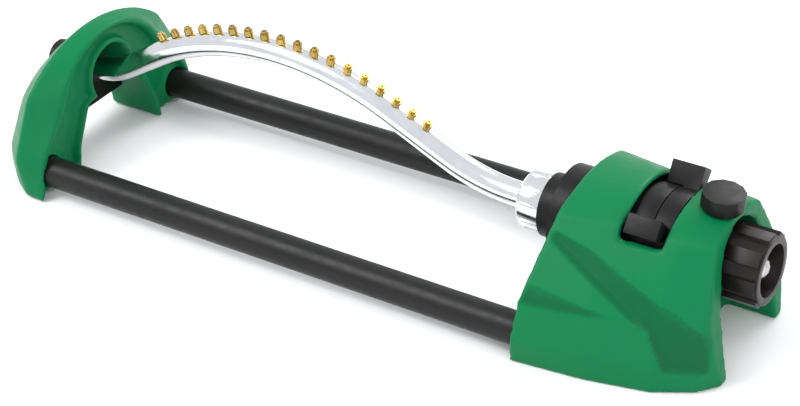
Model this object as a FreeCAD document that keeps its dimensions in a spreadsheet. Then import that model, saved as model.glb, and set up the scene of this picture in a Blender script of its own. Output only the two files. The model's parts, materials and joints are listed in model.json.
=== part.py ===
"""Oscillating lawn sprinkler, modelled as an assembly of separate pieces.

Frame: millimetres, +X points to the hose inlet, +Y to the sprinkler's left, +Z up.
The origin is on the lawn, under the middle of the sprinkler's overall length.
"""
import FreeCAD, Part
import math
import os
import Sketcher
from FreeCAD import Placement, Rotation, Vector

# alias, value in millimetres or degrees, meaning
SIZES = [
    # overall
    ("overall_length", 411.0, "clean-out plug's face to inlet nut's mouth"),
    ("end_reach", 38.0, "clean-out plug's face to the end housing's rim"),
    ("arm_height", 46.0, "spray arm's axis above the lawn"),
    ("motor_reach", 99.0, "motor housing's foot at the front to the nut's mouth"),
    ("press_gap", 0.02, "radial gap of pieces pushed together"),
    ("run_gap", 0.05, "radial gap of a shaft in its bearing"),
    ("loose_gap", 0.3, "gap between pieces that pass each other"),
    # base tubes
    ("tube_spacing", 105.0, "centre to centre"),
    ("base_tube_radius", 8.0, ""),
    ("base_tube_wall", 1.2, ""),
    ("base_tube_height", 12.0, "tube axis above the lawn"),
    ("socket_depth", 14.0, "how far a base tube enters each housing"),
    ("socket_wall", 2.4, ""),
    # end housing, sections from rim to back
    ("shell_wall", 2.5, "both green housings"),
    ("rim_width", 3.0, "raised lip around the end housing's face"),
    ("rim_depth", 6.0, "face set back behind the lip"),
    ("bulge_depth", 12.0, "rim to the widest section"),
    ("slope_depth", 24.0, "rim to the section where the back closes in"),
    ("end_depth", 35.0, "rim to the back wall"),
    ("rim_foot", 66.0, "half width on the lawn"),
    ("rim_hip", 59.0, ""),
    ("rim_hip_height", 22.0, ""),
    ("rim_shoulder", 41.0, ""),
    ("rim_shoulder_height", 44.0, ""),
    ("rim_top", 72.5, ""),
    ("bulge_foot", 64.5, ""),
    ("bulge_hip", 69.0, ""),
    ("bulge_hip_height", 24.0, ""),
    ("bulge_shoulder", 54.0, ""),
    ("bulge_shoulder_height", 53.0, ""),
    ("bulge_top", 73.5, ""),
    ("slope_foot", 57.0, ""),
    ("slope_hip", 59.0, ""),
    ("slope_hip_height", 19.0, ""),
    ("slope_shoulder", 45.0, ""),
    ("slope_shoulder_height", 44.5, ""),
    ("slope_top", 62.5, ""),
    ("back_foot", 46.5, ""),
    ("back_hip", 48.0, ""),
    ("back_hip_height", 17.0, ""),
    ("back_shoulder", 35.0, ""),
    ("back_shoulder_height", 37.5, ""),
    ("back_top", 51.5, ""),
    ("gate_foot", 33.0, "half width of the gap between the legs, on the lawn"),
    ("gate_waist", 30.0, ""),
    ("gate_waist_height", 16.0, ""),
    ("gate_neck", 20.0, ""),
    ("gate_neck_height", 36.0, ""),
    ("hollow_radius", 15.0, "round hollow about the arm's tail"),
    # end bracket and tail bearing
    ("bracket_thickness", 2.5, ""),
    ("bracket_bottom", 16.0, "its lower edge above the lawn"),
    ("bracket_half_width", 44.0, ""),
    ("bracket_side_height", 24.0, "where its sides start to slope in"),
    ("bracket_shoulder", 30.0, ""),
    ("bracket_shoulder_height", 42.0, ""),
    ("bracket_top", 56.0, ""),
    ("bush_wall", 2.0, ""),
    ("bush_flange", 3.4, "flange beyond the journal"),
    ("bush_length", 8.7, ""),
    ("journal_radius", 5.5, "arm's tail in its bush"),
    ("sleeve_radius", 8.0, "black sleeve over the tube's tail end"),
    ("sleeve_start", 11.5, "rim to the sleeve's open end"),
    ("sleeve_shoulder", 20.0, "rim to the sleeve's shoulder"),
    ("sleeve_end", 30.0, "rim to the sleeve's outer end"),
    ("plug_bore", 3.5, ""),
    ("plug_head_radius", 9.0, ""),
    ("plug_flutes", 12, "grip flutes round the plug"),
    ("flute_radius", 1.3, ""),
    ("needle_radius", 0.6, ""),
    ("needle_start", 13.0, "rim to the needle's tip"),
    # spray tube
    ("spray_radius", 6.25, ""),
    ("spray_wall", 0.9, ""),
    ("tail_stub", 17.5, "rim to the tube's tail end"),
    ("tail_corner", 1.0, "rim to the corner of the tail bend, into the span"),
    ("head_corner", 49.0, "motor housing to the corner of the head bend"),
    ("head_stub", 14.0, "motor housing to the tube's head end"),
    ("arch_rise", 39.8, "crest above the arm's axis"),
    ("crest_shift", -5.5, "crest from the middle of the arch"),
    ("tail_ramp_share", 0.30, "straight share of the tail ramp"),
    ("head_ramp_share", 0.44, "straight share of the head ramp"),
    ("tail_bend", 42.0, "bend radius"),
    ("head_bend", 90.0, "bend radius"),
    # nozzles
    ("nozzle_count", 18, ""),
    ("nozzle_pitch", 9.35, "along the tube"),
    ("nozzle_row_shift", 8.5, "middle of the row from the crest"),
    ("nozzle_stem", 1.6, "radius in the tube's wall"),
    ("nozzle_body", 2.3, "radius"),
    ("nozzle_body_height", 2.9, ""),
    ("nozzle_tip", 1.5, "radius"),
    ("nozzle_tip_height", 1.2, ""),
    ("nozzle_jet", 0.5, "radius of the jet hole"),
    # collar and hub
    ("collar_radius", 13.8, ""),
    ("collar_length", 12.5, ""),
    ("collar_lip", 2.5, ""),
    ("collar_ribs", 10, ""),
    ("collar_rib", 0.8, "rib stands out by this"),
    ("collar_rib_width", 2.2, ""),
    ("spigot_radius", 11.0, "hub spigot inside the collar"),
    ("spigot_start", 20.5, "motor housing to the spigot's face"),
    ("seal_thickness", 1.4, "tube seal"),
    ("hub_flange_radius", 15.5, ""),
    ("hub_flange_length", 10.0, ""),
    ("hub_shaft", 9.0, "radius in the nose bearing"),
    ("hub_water_bore", 5.0, "radius"),
    ("gear_seat", 7.0, "radius"),
    ("hub_reach", 20.9, "hub's inner end past the housing's front"),
    # gear case
    ("nose_radius", 22.5, ""),
    ("nose_front", 2.5, "nose stands out of the housing by this"),
    ("case_front", 11.5, "housing's front to the drum"),
    ("case_back", 60.0, "housing's front to the case's rear face"),
    ("case_radius", 23.5, "drum under the roof"),
    ("case_half_width", 29.0, "gear chamber"),
    ("case_wall", 2.5, ""),
    ("cover_thickness", 2.0, ""),
    ("gasket_thickness", 0.8, ""),
    ("port_radius", 3.2, "water ports through the inner plates"),
    ("plate_front", 33.0, "housing's front to the gear plate"),
    ("plate_thickness", 2.0, "both inner plates"),
    ("jet_front", 49.0, "housing's front to the jet plate"),
    # gears
    ("gear_module", 0.8, ""),
    ("pressure_angle", 25.0, ""),
    ("tooth_backlash", 0.12, "each flank"),
    ("arm_teeth", 32, ""),
    ("wheel_teeth", 28, ""),
    ("pinion_teeth", 12, ""),
    ("pin_radius", 1.2, ""),
    ("first_stage", 14.5, "housing's front to the arm gear"),
    ("second_stage", 21.2, ""),
    ("third_stage", 27.2, ""),
    ("arm_gear_width", 5.0, ""),
    ("gear_width", 4.0, ""),
    ("second_idler_angle", -30.0, "from the first idler, seen along +X"),
    ("turbine_angle", 120.0, "from the second idler, seen along +X"),
    ("turbine_shaft", 1.5, "radius"),
    ("turbine_radius", 11.0, ""),
    ("turbine_hub", 4.0, "radius"),
    ("turbine_start", 37.0, ""),
    ("turbine_width", 9.0, ""),
    ("turbine_blades", 10, ""),
    ("blade_thickness", 1.2, ""),
    ("lever_pin_drop", 16.0, "lever pin below the arm's axis"),
    ("lever_pin_side", -14.0, "lever pin beside the arm's axis"),
    ("lever_length", 26.0, ""),
    ("lever_width", 5.0, ""),
    ("lever_thickness", 2.5, ""),
    # range tabs
    ("ring_gap", 0.1, "tab saddle over the drum"),
    ("ring_thickness", 1.4, ""),
    ("ring_width", 9.3, ""),
    ("slot_front", 38.0, "housing's front to the roof slot"),
    ("slot_width", 21.0, ""),
    ("slot_bottom", 60.0, "slot's ends above the lawn"),
    ("thumb_width", 16.0, ""),
    ("thumb_radius", 36.0, "thumb piece's outer radius"),
    ("thumb_angle", 15.0, "thumb piece's spread"),
    ("near_tab_angle", 50.0, "near tab from upright"),
    ("far_tab_angle", -38.0, "far tab from upright"),
    ("saddle_angle", 96.0, "saddle's spread"),
    # motor housing sections
    ("front_rake", 0.12, "front leans back by this share of its height"),
    ("back_rake", 0.15, "rear leans in by this share of its height"),
    ("motor_depth", 92.0, "front to rear on the lawn"),
    ("front_foot", 61.5, ""),
    ("front_hip", 65.0, ""),
    ("front_waist", 61.0, ""),
    ("front_crease", 32.5, ""),
    ("front_top", 72.0, ""),
    ("mid_station", 36.0, ""),
    ("mid_foot", 57.8, ""),
    ("mid_hip", 59.5, ""),
    ("mid_waist", 55.5, ""),
    ("mid_crease", 27.0, ""),
    ("mid_top", 73.5, ""),
    ("wall_station", 66.0, ""),
    ("wall_foot", 51.5, ""),
    ("wall_hip", 52.0, ""),
    ("wall_waist", 47.5, ""),
    ("wall_crease", 25.5, ""),
    ("wall_top", 72.4, ""),
    ("hood_station", 84.0, ""),
    ("hood_foot", 41.5, ""),
    ("hood_hip", 42.5, ""),
    ("hood_waist", 38.5, ""),
    ("hood_crease", 22.5, ""),
    ("hood_top", 70.5, ""),
    ("rear_foot", 31.5, ""),
    ("rear_hip", 33.0, ""),
    ("rear_waist", 31.5, ""),
    ("rear_crease", 20.0, ""),
    ("rear_top", 69.0, ""),
    ("hip_height", 14.0, ""),
    ("waist_height", 35.0, ""),
    ("crease_height", 65.0, ""),
    ("recess_wall", 67.0, "housing's front to the wall behind the inlet"),
    ("mouth_foot", 26.0, "half width of the opening round the inlet"),
    ("mouth_waist", 25.0, ""),
    ("mouth_waist_height", 33.0, ""),
    ("mouth_shoulder", 19.5, ""),
    ("mouth_shoulder_height", 52.0, ""),
    ("mouth_top", 66.5, ""),
    ("post_radius", 3.5, "screw posts"),
    ("post_side", 37.5, "screw posts from the middle"),
    ("front_post", 28.0, ""),
    ("rear_post", 61.5, ""),
    # floor plate
    ("floor_bottom", 2.5, "above the lawn"),
    ("floor_thickness", 2.5, ""),
    ("floor_front", 20.0, ""),
    ("floor_back", 64.2, ""),
    ("floor_half_width", 42.0, ""),
    # inlet
    ("pipe_radius", 10.5, ""),
    ("pipe_bore", 7.5, ""),
    ("pipe_end", 85.0, ""),
    ("pipe_flange", 12.2, ""),
    ("pipe_flange_length", 2.5, ""),
    ("nut_start", 78.8, ""),
    ("nut_radius", 16.2, ""),
    ("nut_back_wall", 3.0, ""),
    ("nut_ribs", 8, ""),
    ("nut_rib", 1.3, "rib stands out by this"),
    ("nut_rib_width", 7.0, ""),
    ("nut_flange_length", 3.0, ""),
    ("hose_thread", 12.5, "bore radius of the hose thread"),
    ("washer_thickness", 2.4, ""),
    ("screen_radius", 7.4, "filter dome"),
    ("screen_rim", 12.2, ""),
    ("screen_wall", 0.6, ""),
    ("screen_depth", 10.0, "dome's height"),
    # flow knob
    ("knob_station", 71.5, ""),
    ("knob_tilt", 5.0, ""),
    ("knob_radius", 10.0, ""),
    ("knob_height", 7.4, ""),
    ("knob_sides", 12, ""),
    ("knob_floor", 26.3, "underside above the arm's axis, along the spindle"),
    ("spindle_radius", 3.0, ""),
    ("boss_radius", 4.2, ""),
    ("boss_top", 20.0, "above the arm's axis"),
    ("gate_radius", 6.8, "valve disc"),
    ("gate_thickness", 1.6, ""),
    # fasteners
    ("screw_radius", 1.4, ""),
    ("screw_head", 2.8, "head radius"),
    ("screw_head_height", 1.8, ""),
]

X_END = "-Sizes.overall_length / 2 + Sizes.end_reach"
X_MOTOR = "Sizes.overall_length / 2 - Sizes.motor_reach"
Z_ARM = "Sizes.arm_height"

doc = FreeCAD.newDocument("Sprinkler")
sheet = doc.addObject("Spreadsheet::Sheet", "Sizes")
for row, (alias, number, meaning) in enumerate(SIZES, start=1):
    sheet.set(f"A{row}", alias)
    sheet.set(f"B{row}", str(number))
    sheet.set(f"C{row}", meaning)
    sheet.setAlias(f"B{row}", alias)
doc.recompute()

nodes = []


# ---------------------------------------------------------------- helpers

def val(expression):
    """The number that an expression on the sheet gives."""
    return float(sheet.evalExpression(str(expression)))


def size(alias):
    """The number in one cell of the sheet."""
    return float(sheet.get(alias))


def keep(shape_object, label):
    """Register an object as one piece of the sprinkler."""
    shape_object.Label = label
    nodes.append(shape_object)
    return shape_object


def bind(target, **expressions):
    """Bind properties to the sheet; double underscores stand for dots."""
    for name, expression in expressions.items():
        target.setExpression(name.replace("__", "."), str(expression))
    return target


def move(target, x="0", y="0", z="0"):
    """Bind an object's position."""
    return bind(target, Placement__Base__x=x, Placement__Base__y=y, Placement__Base__z=z)


AXES = {
    "X": Rotation(Vector(0, 1, 0), 90),
    "-X": Rotation(Vector(0, 1, 0), -90),
    "Y": Rotation(Vector(1, 0, 0), -90),
    "Z": Rotation(),
}


def rod(name, radius, length, x="0", y="0", z="0", axis="X"):
    """A cylinder from (x, y, z) along an axis."""
    item = doc.addObject("Part::Cylinder", name)
    item.Placement = Placement(Vector(), AXES[axis])
    bind(item, Radius=radius, Height=length)
    return move(item, x, y, z)


def block(name, length, width, height, x="0", y="0", z="0"):
    """A box with its lowest corner at (x, y, z)."""
    item = doc.addObject("Part::Box", name)
    bind(item, Length=length, Width=width, Height=height)
    return move(item, x, y, z)


def fuse(name, *parts):
    """Join solids."""
    item = doc.addObject("Part::MultiFuse", name)
    item.Shapes = list(parts)
    item.Refine = False
    return item


def common(name, *parts):
    """What solids share."""
    item = doc.addObject("Part::MultiCommon", name)
    item.Shapes = list(parts)
    return item


def cut(name, base, *tools):
    """Take one or more tools away from a base."""
    item = doc.addObject("Part::Cut", name)
    item.Base = base
    item.Tool = tools[0] if len(tools) == 1 else fuse(name + "_tools", *tools)
    return item


def group(name, *parts):
    """Identical solids that share one node."""
    item = doc.addObject("Part::Compound", name)
    item.Links = list(parts)
    return item


def pin_point(sketch, edge, end, name, point):
    """Hold one end of an edge at a pair of expressions."""
    for kind, label, expression in (("DistanceX", "px", point[0]), ("DistanceY", "py", point[1])):
        index = sketch.addConstraint(Sketcher.Constraint(kind, -1, 1, edge, end, val(expression)))
        sketch.renameConstraint(index, f"{label}{name}")
        sketch.setExpression(f"Constraints.{label}{name}", str(expression))


def draw(sketch, points, arc_after=None, via=None):
    """Draw a closed outline; the edge after point arc_after is an arc through via."""
    spots = [Vector(val(a), val(b), 0) for a, b in points]
    count = len(spots)
    for i, spot in enumerate(spots):
        following = spots[(i + 1) % count]
        if i == arc_after:
            middle = Vector(val(via[0]), val(via[1]), 0)
            sketch.addGeometry(Part.Arc(spot, middle, following), False)
        else:
            sketch.addGeometry(Part.LineSegment(spot, following), False)
    if arc_after is None:
        for i in range(count):
            sketch.addConstraint(Sketcher.Constraint("Coincident", i, 2, (i + 1) % count, 1))
            pin_point(sketch, i, 1, i, points[i])
        return sketch
    arc = sketch.Geometry[arc_after]
    starts_first = arc.StartPoint.distanceToPoint(spots[arc_after]) < 1e-6
    first, last = (1, 2) if starts_first else (2, 1)
    for i in range(count):
        start = first if i == arc_after else 1
        before = (i - 1) % count
        end = last if before == arc_after else 2
        sketch.addConstraint(Sketcher.Constraint("Coincident", before, end, i, start))
        pin_point(sketch, i, start, i, points[i])
    crown = sketch.addGeometry(Part.Point(Vector(val(via[0]), val(via[1]), 0)), True)
    pin_point(sketch, crown, 1, "crown", via)
    sketch.addConstraint(Sketcher.Constraint("PointOnObject", crown, 1, arc_after))
    return sketch


FACING_X = Rotation(Vector(0, 1, 0), Vector(0, 0, 1), Vector(1, 0, 0), "ZXY")
FACING_Y = Rotation(Vector(1, 0, 0), 90)


def across(name, x, points, arc_after=None, via=None):
    """A free sketch in the plane across the sprinkler at x: points are (y, z)."""
    sketch = doc.addObject("Sketcher::SketchObject", name)
    sketch.Placement = Placement(Vector(), FACING_X)
    move(sketch, x)
    return draw(sketch, points, arc_after, via)


def prism(name, sketch, length):
    """Extrude a sketch along its own normal, to both sides when length is a pair."""
    item = doc.addObject("Part::Extrusion", name)
    item.Base = sketch
    item.DirMode = "Normal"
    item.Solid = True
    forward, backward = length if isinstance(length, tuple) else (length, "0")
    return bind(item, LengthFwd=forward, LengthRev=backward)


def side_prism(name, points, half_width):
    """A prism across the sprinkler whose outline is (x, z) points."""
    sketch = doc.addObject("Sketcher::SketchObject", name + "_outline")
    sketch.Placement = Placement(Vector(), FACING_Y)
    draw(sketch, points)
    return prism(name, sketch, (half_width, half_width))


def plane_of(body, role):
    """One of a body's own origin planes."""
    return [f for f in body.Origin.OriginFeatures if f.Role == role][0]


def body_sketch(body, name, role):
    """A sketch on one of a body's origin planes."""
    sketch = body.newObject("Sketcher::SketchObject", name)
    sketch.AttachmentSupport = [(plane_of(body, role), "")]
    sketch.MapMode = "FlatFace"
    return sketch


def turned(name, outline, x="0", y="0", z=Z_ARM):
    """A turned body: outline holds (along the axis, radius) pairs, the axis is X."""
    body = doc.addObject("PartDesign::Body", name)
    sketch = body_sketch(body, name + "_profile", "XZ_Plane")
    draw(sketch, outline)
    turn = body.newObject("PartDesign::Revolution", name + "_turn")
    turn.Profile = sketch
    turn.ReferenceAxis = (sketch, ["H_Axis"])
    turn.Angle = 360
    return move(body, x, y, z)


def ring(name, inner, outer, start, end, x, y="0", z=Z_ARM):
    """A flat ring or bush about an axis along X."""
    return turned(name, [(start, inner), (end, inner), (end, outer), (start, outer)], x, y, z)


def o_ring(name, radius, thickness, along, x, y="0", z=Z_ARM):
    """A round-section seal about an axis along X."""
    item = doc.addObject("Part::Torus", name)
    item.Placement = Placement(Vector(), AXES["X"])
    bind(item, Radius1=radius, Radius2=thickness)
    return move(item, f"{x} + {along}", y, z)


def arched(points, top):
    """Mirror a half outline of (y, z) points and close it over the top with an arc."""
    left = [(f"-({y})", z) for y, z in reversed(points)]
    right = list(points)
    outline = right + left
    return outline, len(right) - 1, ("0", top)


def inset(points, wall, share):
    """Move a half outline inward; share is how much of the wall comes off each height."""
    return [(f"{y} - {wall}", f"{z} - {wall} * {part}") for (y, z), part in zip(points, share)]


# ---------------------------------------------------------------- base tubes

def base_tube(label, side):
    """One black tube that ties the two housings together."""
    start = f"{X_END} - Sizes.socket_depth"
    length = f"({X_MOTOR}) - ({X_END}) + 2 * Sizes.socket_depth"
    y = f"{side} * Sizes.tube_spacing / 2"
    z = "Sizes.base_tube_height"
    outside = rod(label + "_outside", "Sizes.base_tube_radius", length, start, y, z)
    bore = rod(label + "_bore", "Sizes.base_tube_radius - Sizes.base_tube_wall", length, start, y, z)
    return outside, bore


SCREW_INSET = "Sizes.socket_depth / 2"
TUBE_SCREW_X = [f"{X_END} - {SCREW_INSET}", f"{X_MOTOR} + {SCREW_INSET}"]


def make_base_tubes():
    """Both tubes, with a screw hole in the underside at each end."""
    for label, side in (("near_base_tube", -1), ("far_base_tube", 1)):
        outside, bore = base_tube(label, side)
        y = f"{side} * Sizes.tube_spacing / 2"
        holes = [
            rod(f"{label}_hole{i}", "Sizes.screw_radius + Sizes.press_gap",
                "Sizes.base_tube_height", x, y, "0", "Z")
            for i, x in enumerate(TUBE_SCREW_X)
        ]
        keep(cut(label + "_cut", outside, bore, *holes), label)


def make_tube_screws():
    """Four screws that lock the tubes in their sockets from below."""
    screws = []
    for side in (-1, 1):
        for i, x in enumerate(TUBE_SCREW_X):
            name = f"tube_screw_{'near' if side < 0 else 'far'}{i}"
            y = f"{side} * Sizes.tube_spacing / 2"
            head = rod(name + "_head", "Sizes.screw_head", "Sizes.screw_head_height", x, y,
                       "Sizes.loose_gap", "Z")
            shank = rod(name + "_shank", "Sizes.screw_radius", "Sizes.screw_head_height + 5", x, y,
                        "Sizes.loose_gap", "Z")
            screws.append(fuse(name, head, shank))
    keep(group("tube_screw_set", *screws), "tube_screws")


def tube_sockets(name, start, length, envelope):
    """Round sockets on both tube axes, trimmed to a housing's outer shape."""
    parts = []
    for side in (-1, 1):
        y = f"{side} * Sizes.tube_spacing / 2"
        post = rod(f"{name}_post{side + 1}", "Sizes.base_tube_radius + Sizes.socket_wall", length,
                   start, y, "Sizes.base_tube_height")
        parts.append(post)
    return common(name, envelope, fuse(name + "_posts", *parts))


def tube_bores(name, start, length, screw_x):
    """What the tubes and their screws take out of a housing."""
    parts = []
    for side in (-1, 1):
        y = f"{side} * Sizes.tube_spacing / 2"
        parts.append(rod(f"{name}_bore{side + 1}", "Sizes.base_tube_radius + Sizes.run_gap", length,
                         start, y, "Sizes.base_tube_height"))
        parts.append(rod(f"{name}_shank{side + 1}", "Sizes.screw_radius + Sizes.press_gap",
                         "Sizes.base_tube_height", screw_x, y, "0", "Z"))
        parts.append(rod(f"{name}_head{side + 1}", "Sizes.screw_head + Sizes.loose_gap",
                         "Sizes.screw_head_height + 1 + Sizes.loose_gap", screw_x, y, "-1", "Z"))
    return parts


# ---------------------------------------------------------------- end housing

END_SECTIONS = [
    ("rim", "0"),
    ("bulge", "Sizes.bulge_depth"),
    ("slope", "Sizes.slope_depth"),
    ("back", "Sizes.end_depth"),
]


def end_outline(key):
    """Half outline of one section of the end housing."""
    return [
        (f"Sizes.{key}_foot", "-1"),
        (f"Sizes.{key}_hip", f"Sizes.{key}_hip_height"),
        (f"Sizes.{key}_shoulder", f"Sizes.{key}_shoulder_height"),
    ]


def loft(name, sections):
    """A solid through several sections."""
    item = doc.addObject("Part::Loft", name)
    item.Sections = sections
    item.Solid = True
    item.Ruled = True
    return item


def end_envelope():
    """The outer shape of the end housing."""
    sketches = []
    for key, depth in END_SECTIONS:
        points, arc, via = arched(end_outline(key), f"Sizes.{key}_top")
        sketches.append(across("end_" + key, f"{X_END} - {depth}", points, arc, via))
    above = block("above_lawn", "4 * Sizes.end_depth", "4 * Sizes.rim_foot", "2 * Sizes.rim_top",
                  f"{X_END} - 3 * Sizes.end_depth", "-2 * Sizes.rim_foot", "0")
    return common("end_envelope", loft("end_loft", sketches), above)


def end_cavity():
    """The same shape, one wall smaller."""
    wall = "Sizes.shell_wall"
    sketches = []
    for key, depth in END_SECTIONS:
        half = inset(end_outline(key), wall, (0, 0, 0.6))
        points, arc, via = arched(half, f"Sizes.{key}_top - {wall}")
        sketches.append(across("end_inner_" + key, f"{X_END} - {depth}", points, arc, via))
    return loft("end_inner", sketches)


def gate(name, margin, start, length):
    """The gap between the legs and the round hollow above it, grown by a margin."""
    half = [
        (f"Sizes.gate_foot + {margin}", "-1"),
        (f"Sizes.gate_waist + {margin}", "Sizes.gate_waist_height"),
        (f"Sizes.gate_neck + {margin}", f"Sizes.gate_neck_height + {margin} / 2"),
    ]
    outline = half + [(f"-({y})", z) for y, z in reversed(half)]
    legs = prism(name + "_legs", across(name + "_outline", start, outline), length)
    hollow = rod(name + "_hollow", f"Sizes.hollow_radius + {margin}", length, start, "0", Z_ARM)
    return fuse(name, legs, hollow)


def bracket_screw_spots():
    """Where the four screws go through the end bracket: (y, z)."""
    low = "Sizes.bracket_half_width - 2.2 * Sizes.screw_head"
    high = "Sizes.bracket_shoulder - 1.2 * Sizes.screw_head"
    return [
        (f"{side} * ({reach})", height)
        for side in (-1, 1)
        for reach, height in (
            (low, "Sizes.bracket_side_height - Sizes.screw_head / 2"),
            (high, "Sizes.bracket_shoulder_height - Sizes.screw_head"),
        )
    ]


def make_end_housing():
    """Green shell: domed hood on two hollow legs, with a raised lip round its face."""
    envelope = end_envelope()
    inner = end_cavity()
    face = f"{X_END} - Sizes.rim_depth - Sizes.shell_wall"
    depth = f"Sizes.end_depth - Sizes.rim_depth - 2 * Sizes.shell_wall"
    span = block("end_cavity_span", depth, "2 * Sizes.bulge_hip", "2 * Sizes.rim_top",
                 f"{face} - ({depth})", "-Sizes.bulge_hip", "-1")
    room = common("end_room", inner, span)
    upper = gate("gate_wall", "Sizes.shell_wall", f"{X_END} - Sizes.slope_depth",
                 "Sizes.slope_depth + 1")
    lower = common("gate_low_wall",
                   gate("gate_wall_through", "Sizes.shell_wall",
                        f"{X_END} - Sizes.end_depth - 1", "Sizes.end_depth + 2"),
                   block("low_span", "2 * Sizes.end_depth", "2 * Sizes.rim_foot",
                         "Sizes.bracket_bottom - Sizes.loose_gap + 1",
                         f"{X_END} - 1.5 * Sizes.end_depth", "-Sizes.rim_foot", "-1"))
    cavity = cut("end_cavity", room, upper, lower)
    lip_half = inset(end_outline("rim"), "Sizes.rim_width", (0, 0, 0.6))
    points, arc, via = arched(lip_half, "Sizes.rim_top - Sizes.rim_width")
    dish = prism("end_dish", across("end_dish_outline", f"{X_END} - Sizes.rim_depth", points, arc, via),
                 "Sizes.rim_depth + 1")
    lip = gate("gate_lip", "Sizes.rim_width", f"{X_END} - Sizes.rim_depth", "Sizes.rim_depth + 1")
    recess = cut("end_recess", dish, lip)
    opening = gate("gate_opening", "0", f"{X_END} - Sizes.slope_depth - 1", "Sizes.slope_depth + 2")
    passage = common("gate_passage",
                     gate("gate_through", "0", f"{X_END} - 2 * Sizes.end_depth", "3 * Sizes.end_depth"),
                     block("passage_span", "4 * Sizes.end_depth", "2 * Sizes.rim_foot",
                           "Sizes.bracket_bottom - Sizes.loose_gap + 1",
                           f"{X_END} - 3 * Sizes.end_depth", "-Sizes.rim_foot", "-1"))
    notch = rod("tail_notch", "Sizes.plug_head_radius + 1", "Sizes.end_depth",
                f"{X_END} - Sizes.end_depth - Sizes.sleeve_end + 2", "0", Z_ARM)
    shell = cut("end_shell", envelope, cavity, recess, opening, passage, notch)
    sockets = tube_sockets("end_sockets", f"{X_END} - Sizes.socket_depth - Sizes.shell_wall",
                           "Sizes.socket_depth + Sizes.shell_wall - Sizes.rim_depth / 2", envelope)
    bosses = [
        rod(f"bracket_boss{i}", "Sizes.screw_head", "Sizes.slope_depth - Sizes.rim_depth - 1",
            f"{X_END} - Sizes.slope_depth", y, z)
        for i, (y, z) in enumerate(bracket_screw_spots())
    ]
    posts = common("end_bosses", envelope, fuse("end_boss_set", *bosses))
    body = fuse("end_body", shell, sockets, posts)
    pilots = [
        rod(f"bracket_pilot{i}", "Sizes.screw_radius + Sizes.press_gap", "10",
            f"{X_END} - Sizes.slope_depth - 1", y, z)
        for i, (y, z) in enumerate(bracket_screw_spots())
    ]
    bores = tube_bores("end_tubes", f"{X_END} - Sizes.socket_depth", "Sizes.socket_depth + 1",
                       TUBE_SCREW_X[0])
    keep(cut("end_housing_body", body, *bores, *pilots), "end_housing")


def make_end_bracket():
    """Black plate inside the hood that carries the arm's tail."""
    start = f"{X_END} - Sizes.slope_depth - Sizes.bracket_thickness"
    half = [
        ("Sizes.bracket_half_width", "Sizes.bracket_bottom"),
        ("Sizes.bracket_half_width", "Sizes.bracket_side_height"),
        ("Sizes.bracket_shoulder", "Sizes.bracket_shoulder_height"),
    ]
    points, arc, via = arched(half, "Sizes.bracket_top")
    plate = prism("bracket_plate", across("bracket_outline", start, points, arc, via),
                  "Sizes.bracket_thickness")
    bore = rod("bracket_bore", "Sizes.journal_radius + Sizes.bush_wall + Sizes.press_gap", "20",
               f"{start} - 10", "0", Z_ARM)
    holes = [
        rod(f"bracket_hole{i}", "Sizes.screw_radius + Sizes.run_gap", "20", f"{start} - 10", y, z)
        for i, (y, z) in enumerate(bracket_screw_spots())
    ]
    keep(cut("bracket_body", plate, bore, *holes), "end_bracket")


def make_bracket_screws():
    """Four screws through the bracket into the hood's bosses."""
    back = f"{X_END} - Sizes.slope_depth - Sizes.bracket_thickness"
    screws = []
    for i, (y, z) in enumerate(bracket_screw_spots()):
        head = rod(f"bracket_screw_head{i}", "Sizes.screw_head - 0.2", "Sizes.screw_head_height",
                   f"{back} - Sizes.screw_head_height", y, z)
        shank = rod(f"bracket_screw_shank{i}", "Sizes.screw_radius", "Sizes.screw_head_height + 9",
                    f"{back} - Sizes.screw_head_height", y, z)
        screws.append(fuse(f"bracket_screw{i}", head, shank))
    keep(group("bracket_screw_set", *screws), "bracket_screws")


def make_tail_bush():
    """Flanged bush in the bracket."""
    inner = "Sizes.journal_radius + Sizes.run_gap"
    outer = "Sizes.journal_radius + Sizes.bush_wall"
    flange = "Sizes.journal_radius + Sizes.bush_flange"
    front = "-Sizes.sleeve_shoulder - Sizes.loose_gap"
    seat = "-Sizes.slope_depth"
    back = "-Sizes.sleeve_shoulder - Sizes.bush_length"
    outline = [(front, inner), (front, flange), (seat, flange), (seat, outer), (back, outer), (back, inner)]
    keep(turned("tail_bush_body", outline, X_END), "tail_bush")


# ---------------------------------------------------------------- spray arm

def ramp_angle(run, rise, share):
    """Slope of a ramp that is straight over a share of its run and then bends level."""
    low, high = 0.0, math.pi / 2 - 0.01
    for _ in range(60):
        angle = (low + high) / 2
        reached = run * (share * math.tan(angle) + (1 - share) * math.tan(angle / 2))
        if reached < rise:
            low = angle
        else:
            high = angle
    return (low + high) / 2


def arch():
    """The arm's centreline: crest, slopes, crown radii and the two corners, from the axis."""
    tail = val(X_END) + size("tail_corner")
    head = val(X_MOTOR) - size("head_corner")
    crest = (tail + head) / 2 + size("crest_shift")
    rise = size("arch_rise")
    ends = {}
    for key, corner in (("tail", tail), ("head", head)):
        run = abs(crest - corner)
        share = size(key + "_ramp_share")
        angle = ramp_angle(run, rise, share)
        radius = (1 - share) * run / math.sin(angle)
        ends[key] = (corner, angle, radius)
    return crest, rise, ends


def arch_point(distance):
    """Point and slope angle on the centreline at a distance along it from the crest."""
    crest, rise, ends = arch()
    key, side = ("head", 1) if distance > 0 else ("tail", -1)
    _, angle, radius = ends[key]
    turn = min(abs(distance) / radius, angle)
    beyond = max(abs(distance) - radius * angle, 0)
    x = crest + side * (radius * math.sin(turn) + beyond * math.cos(turn))
    z = rise - radius * (1 - math.cos(turn)) - beyond * math.sin(turn)
    return x, z, side * turn


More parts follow.
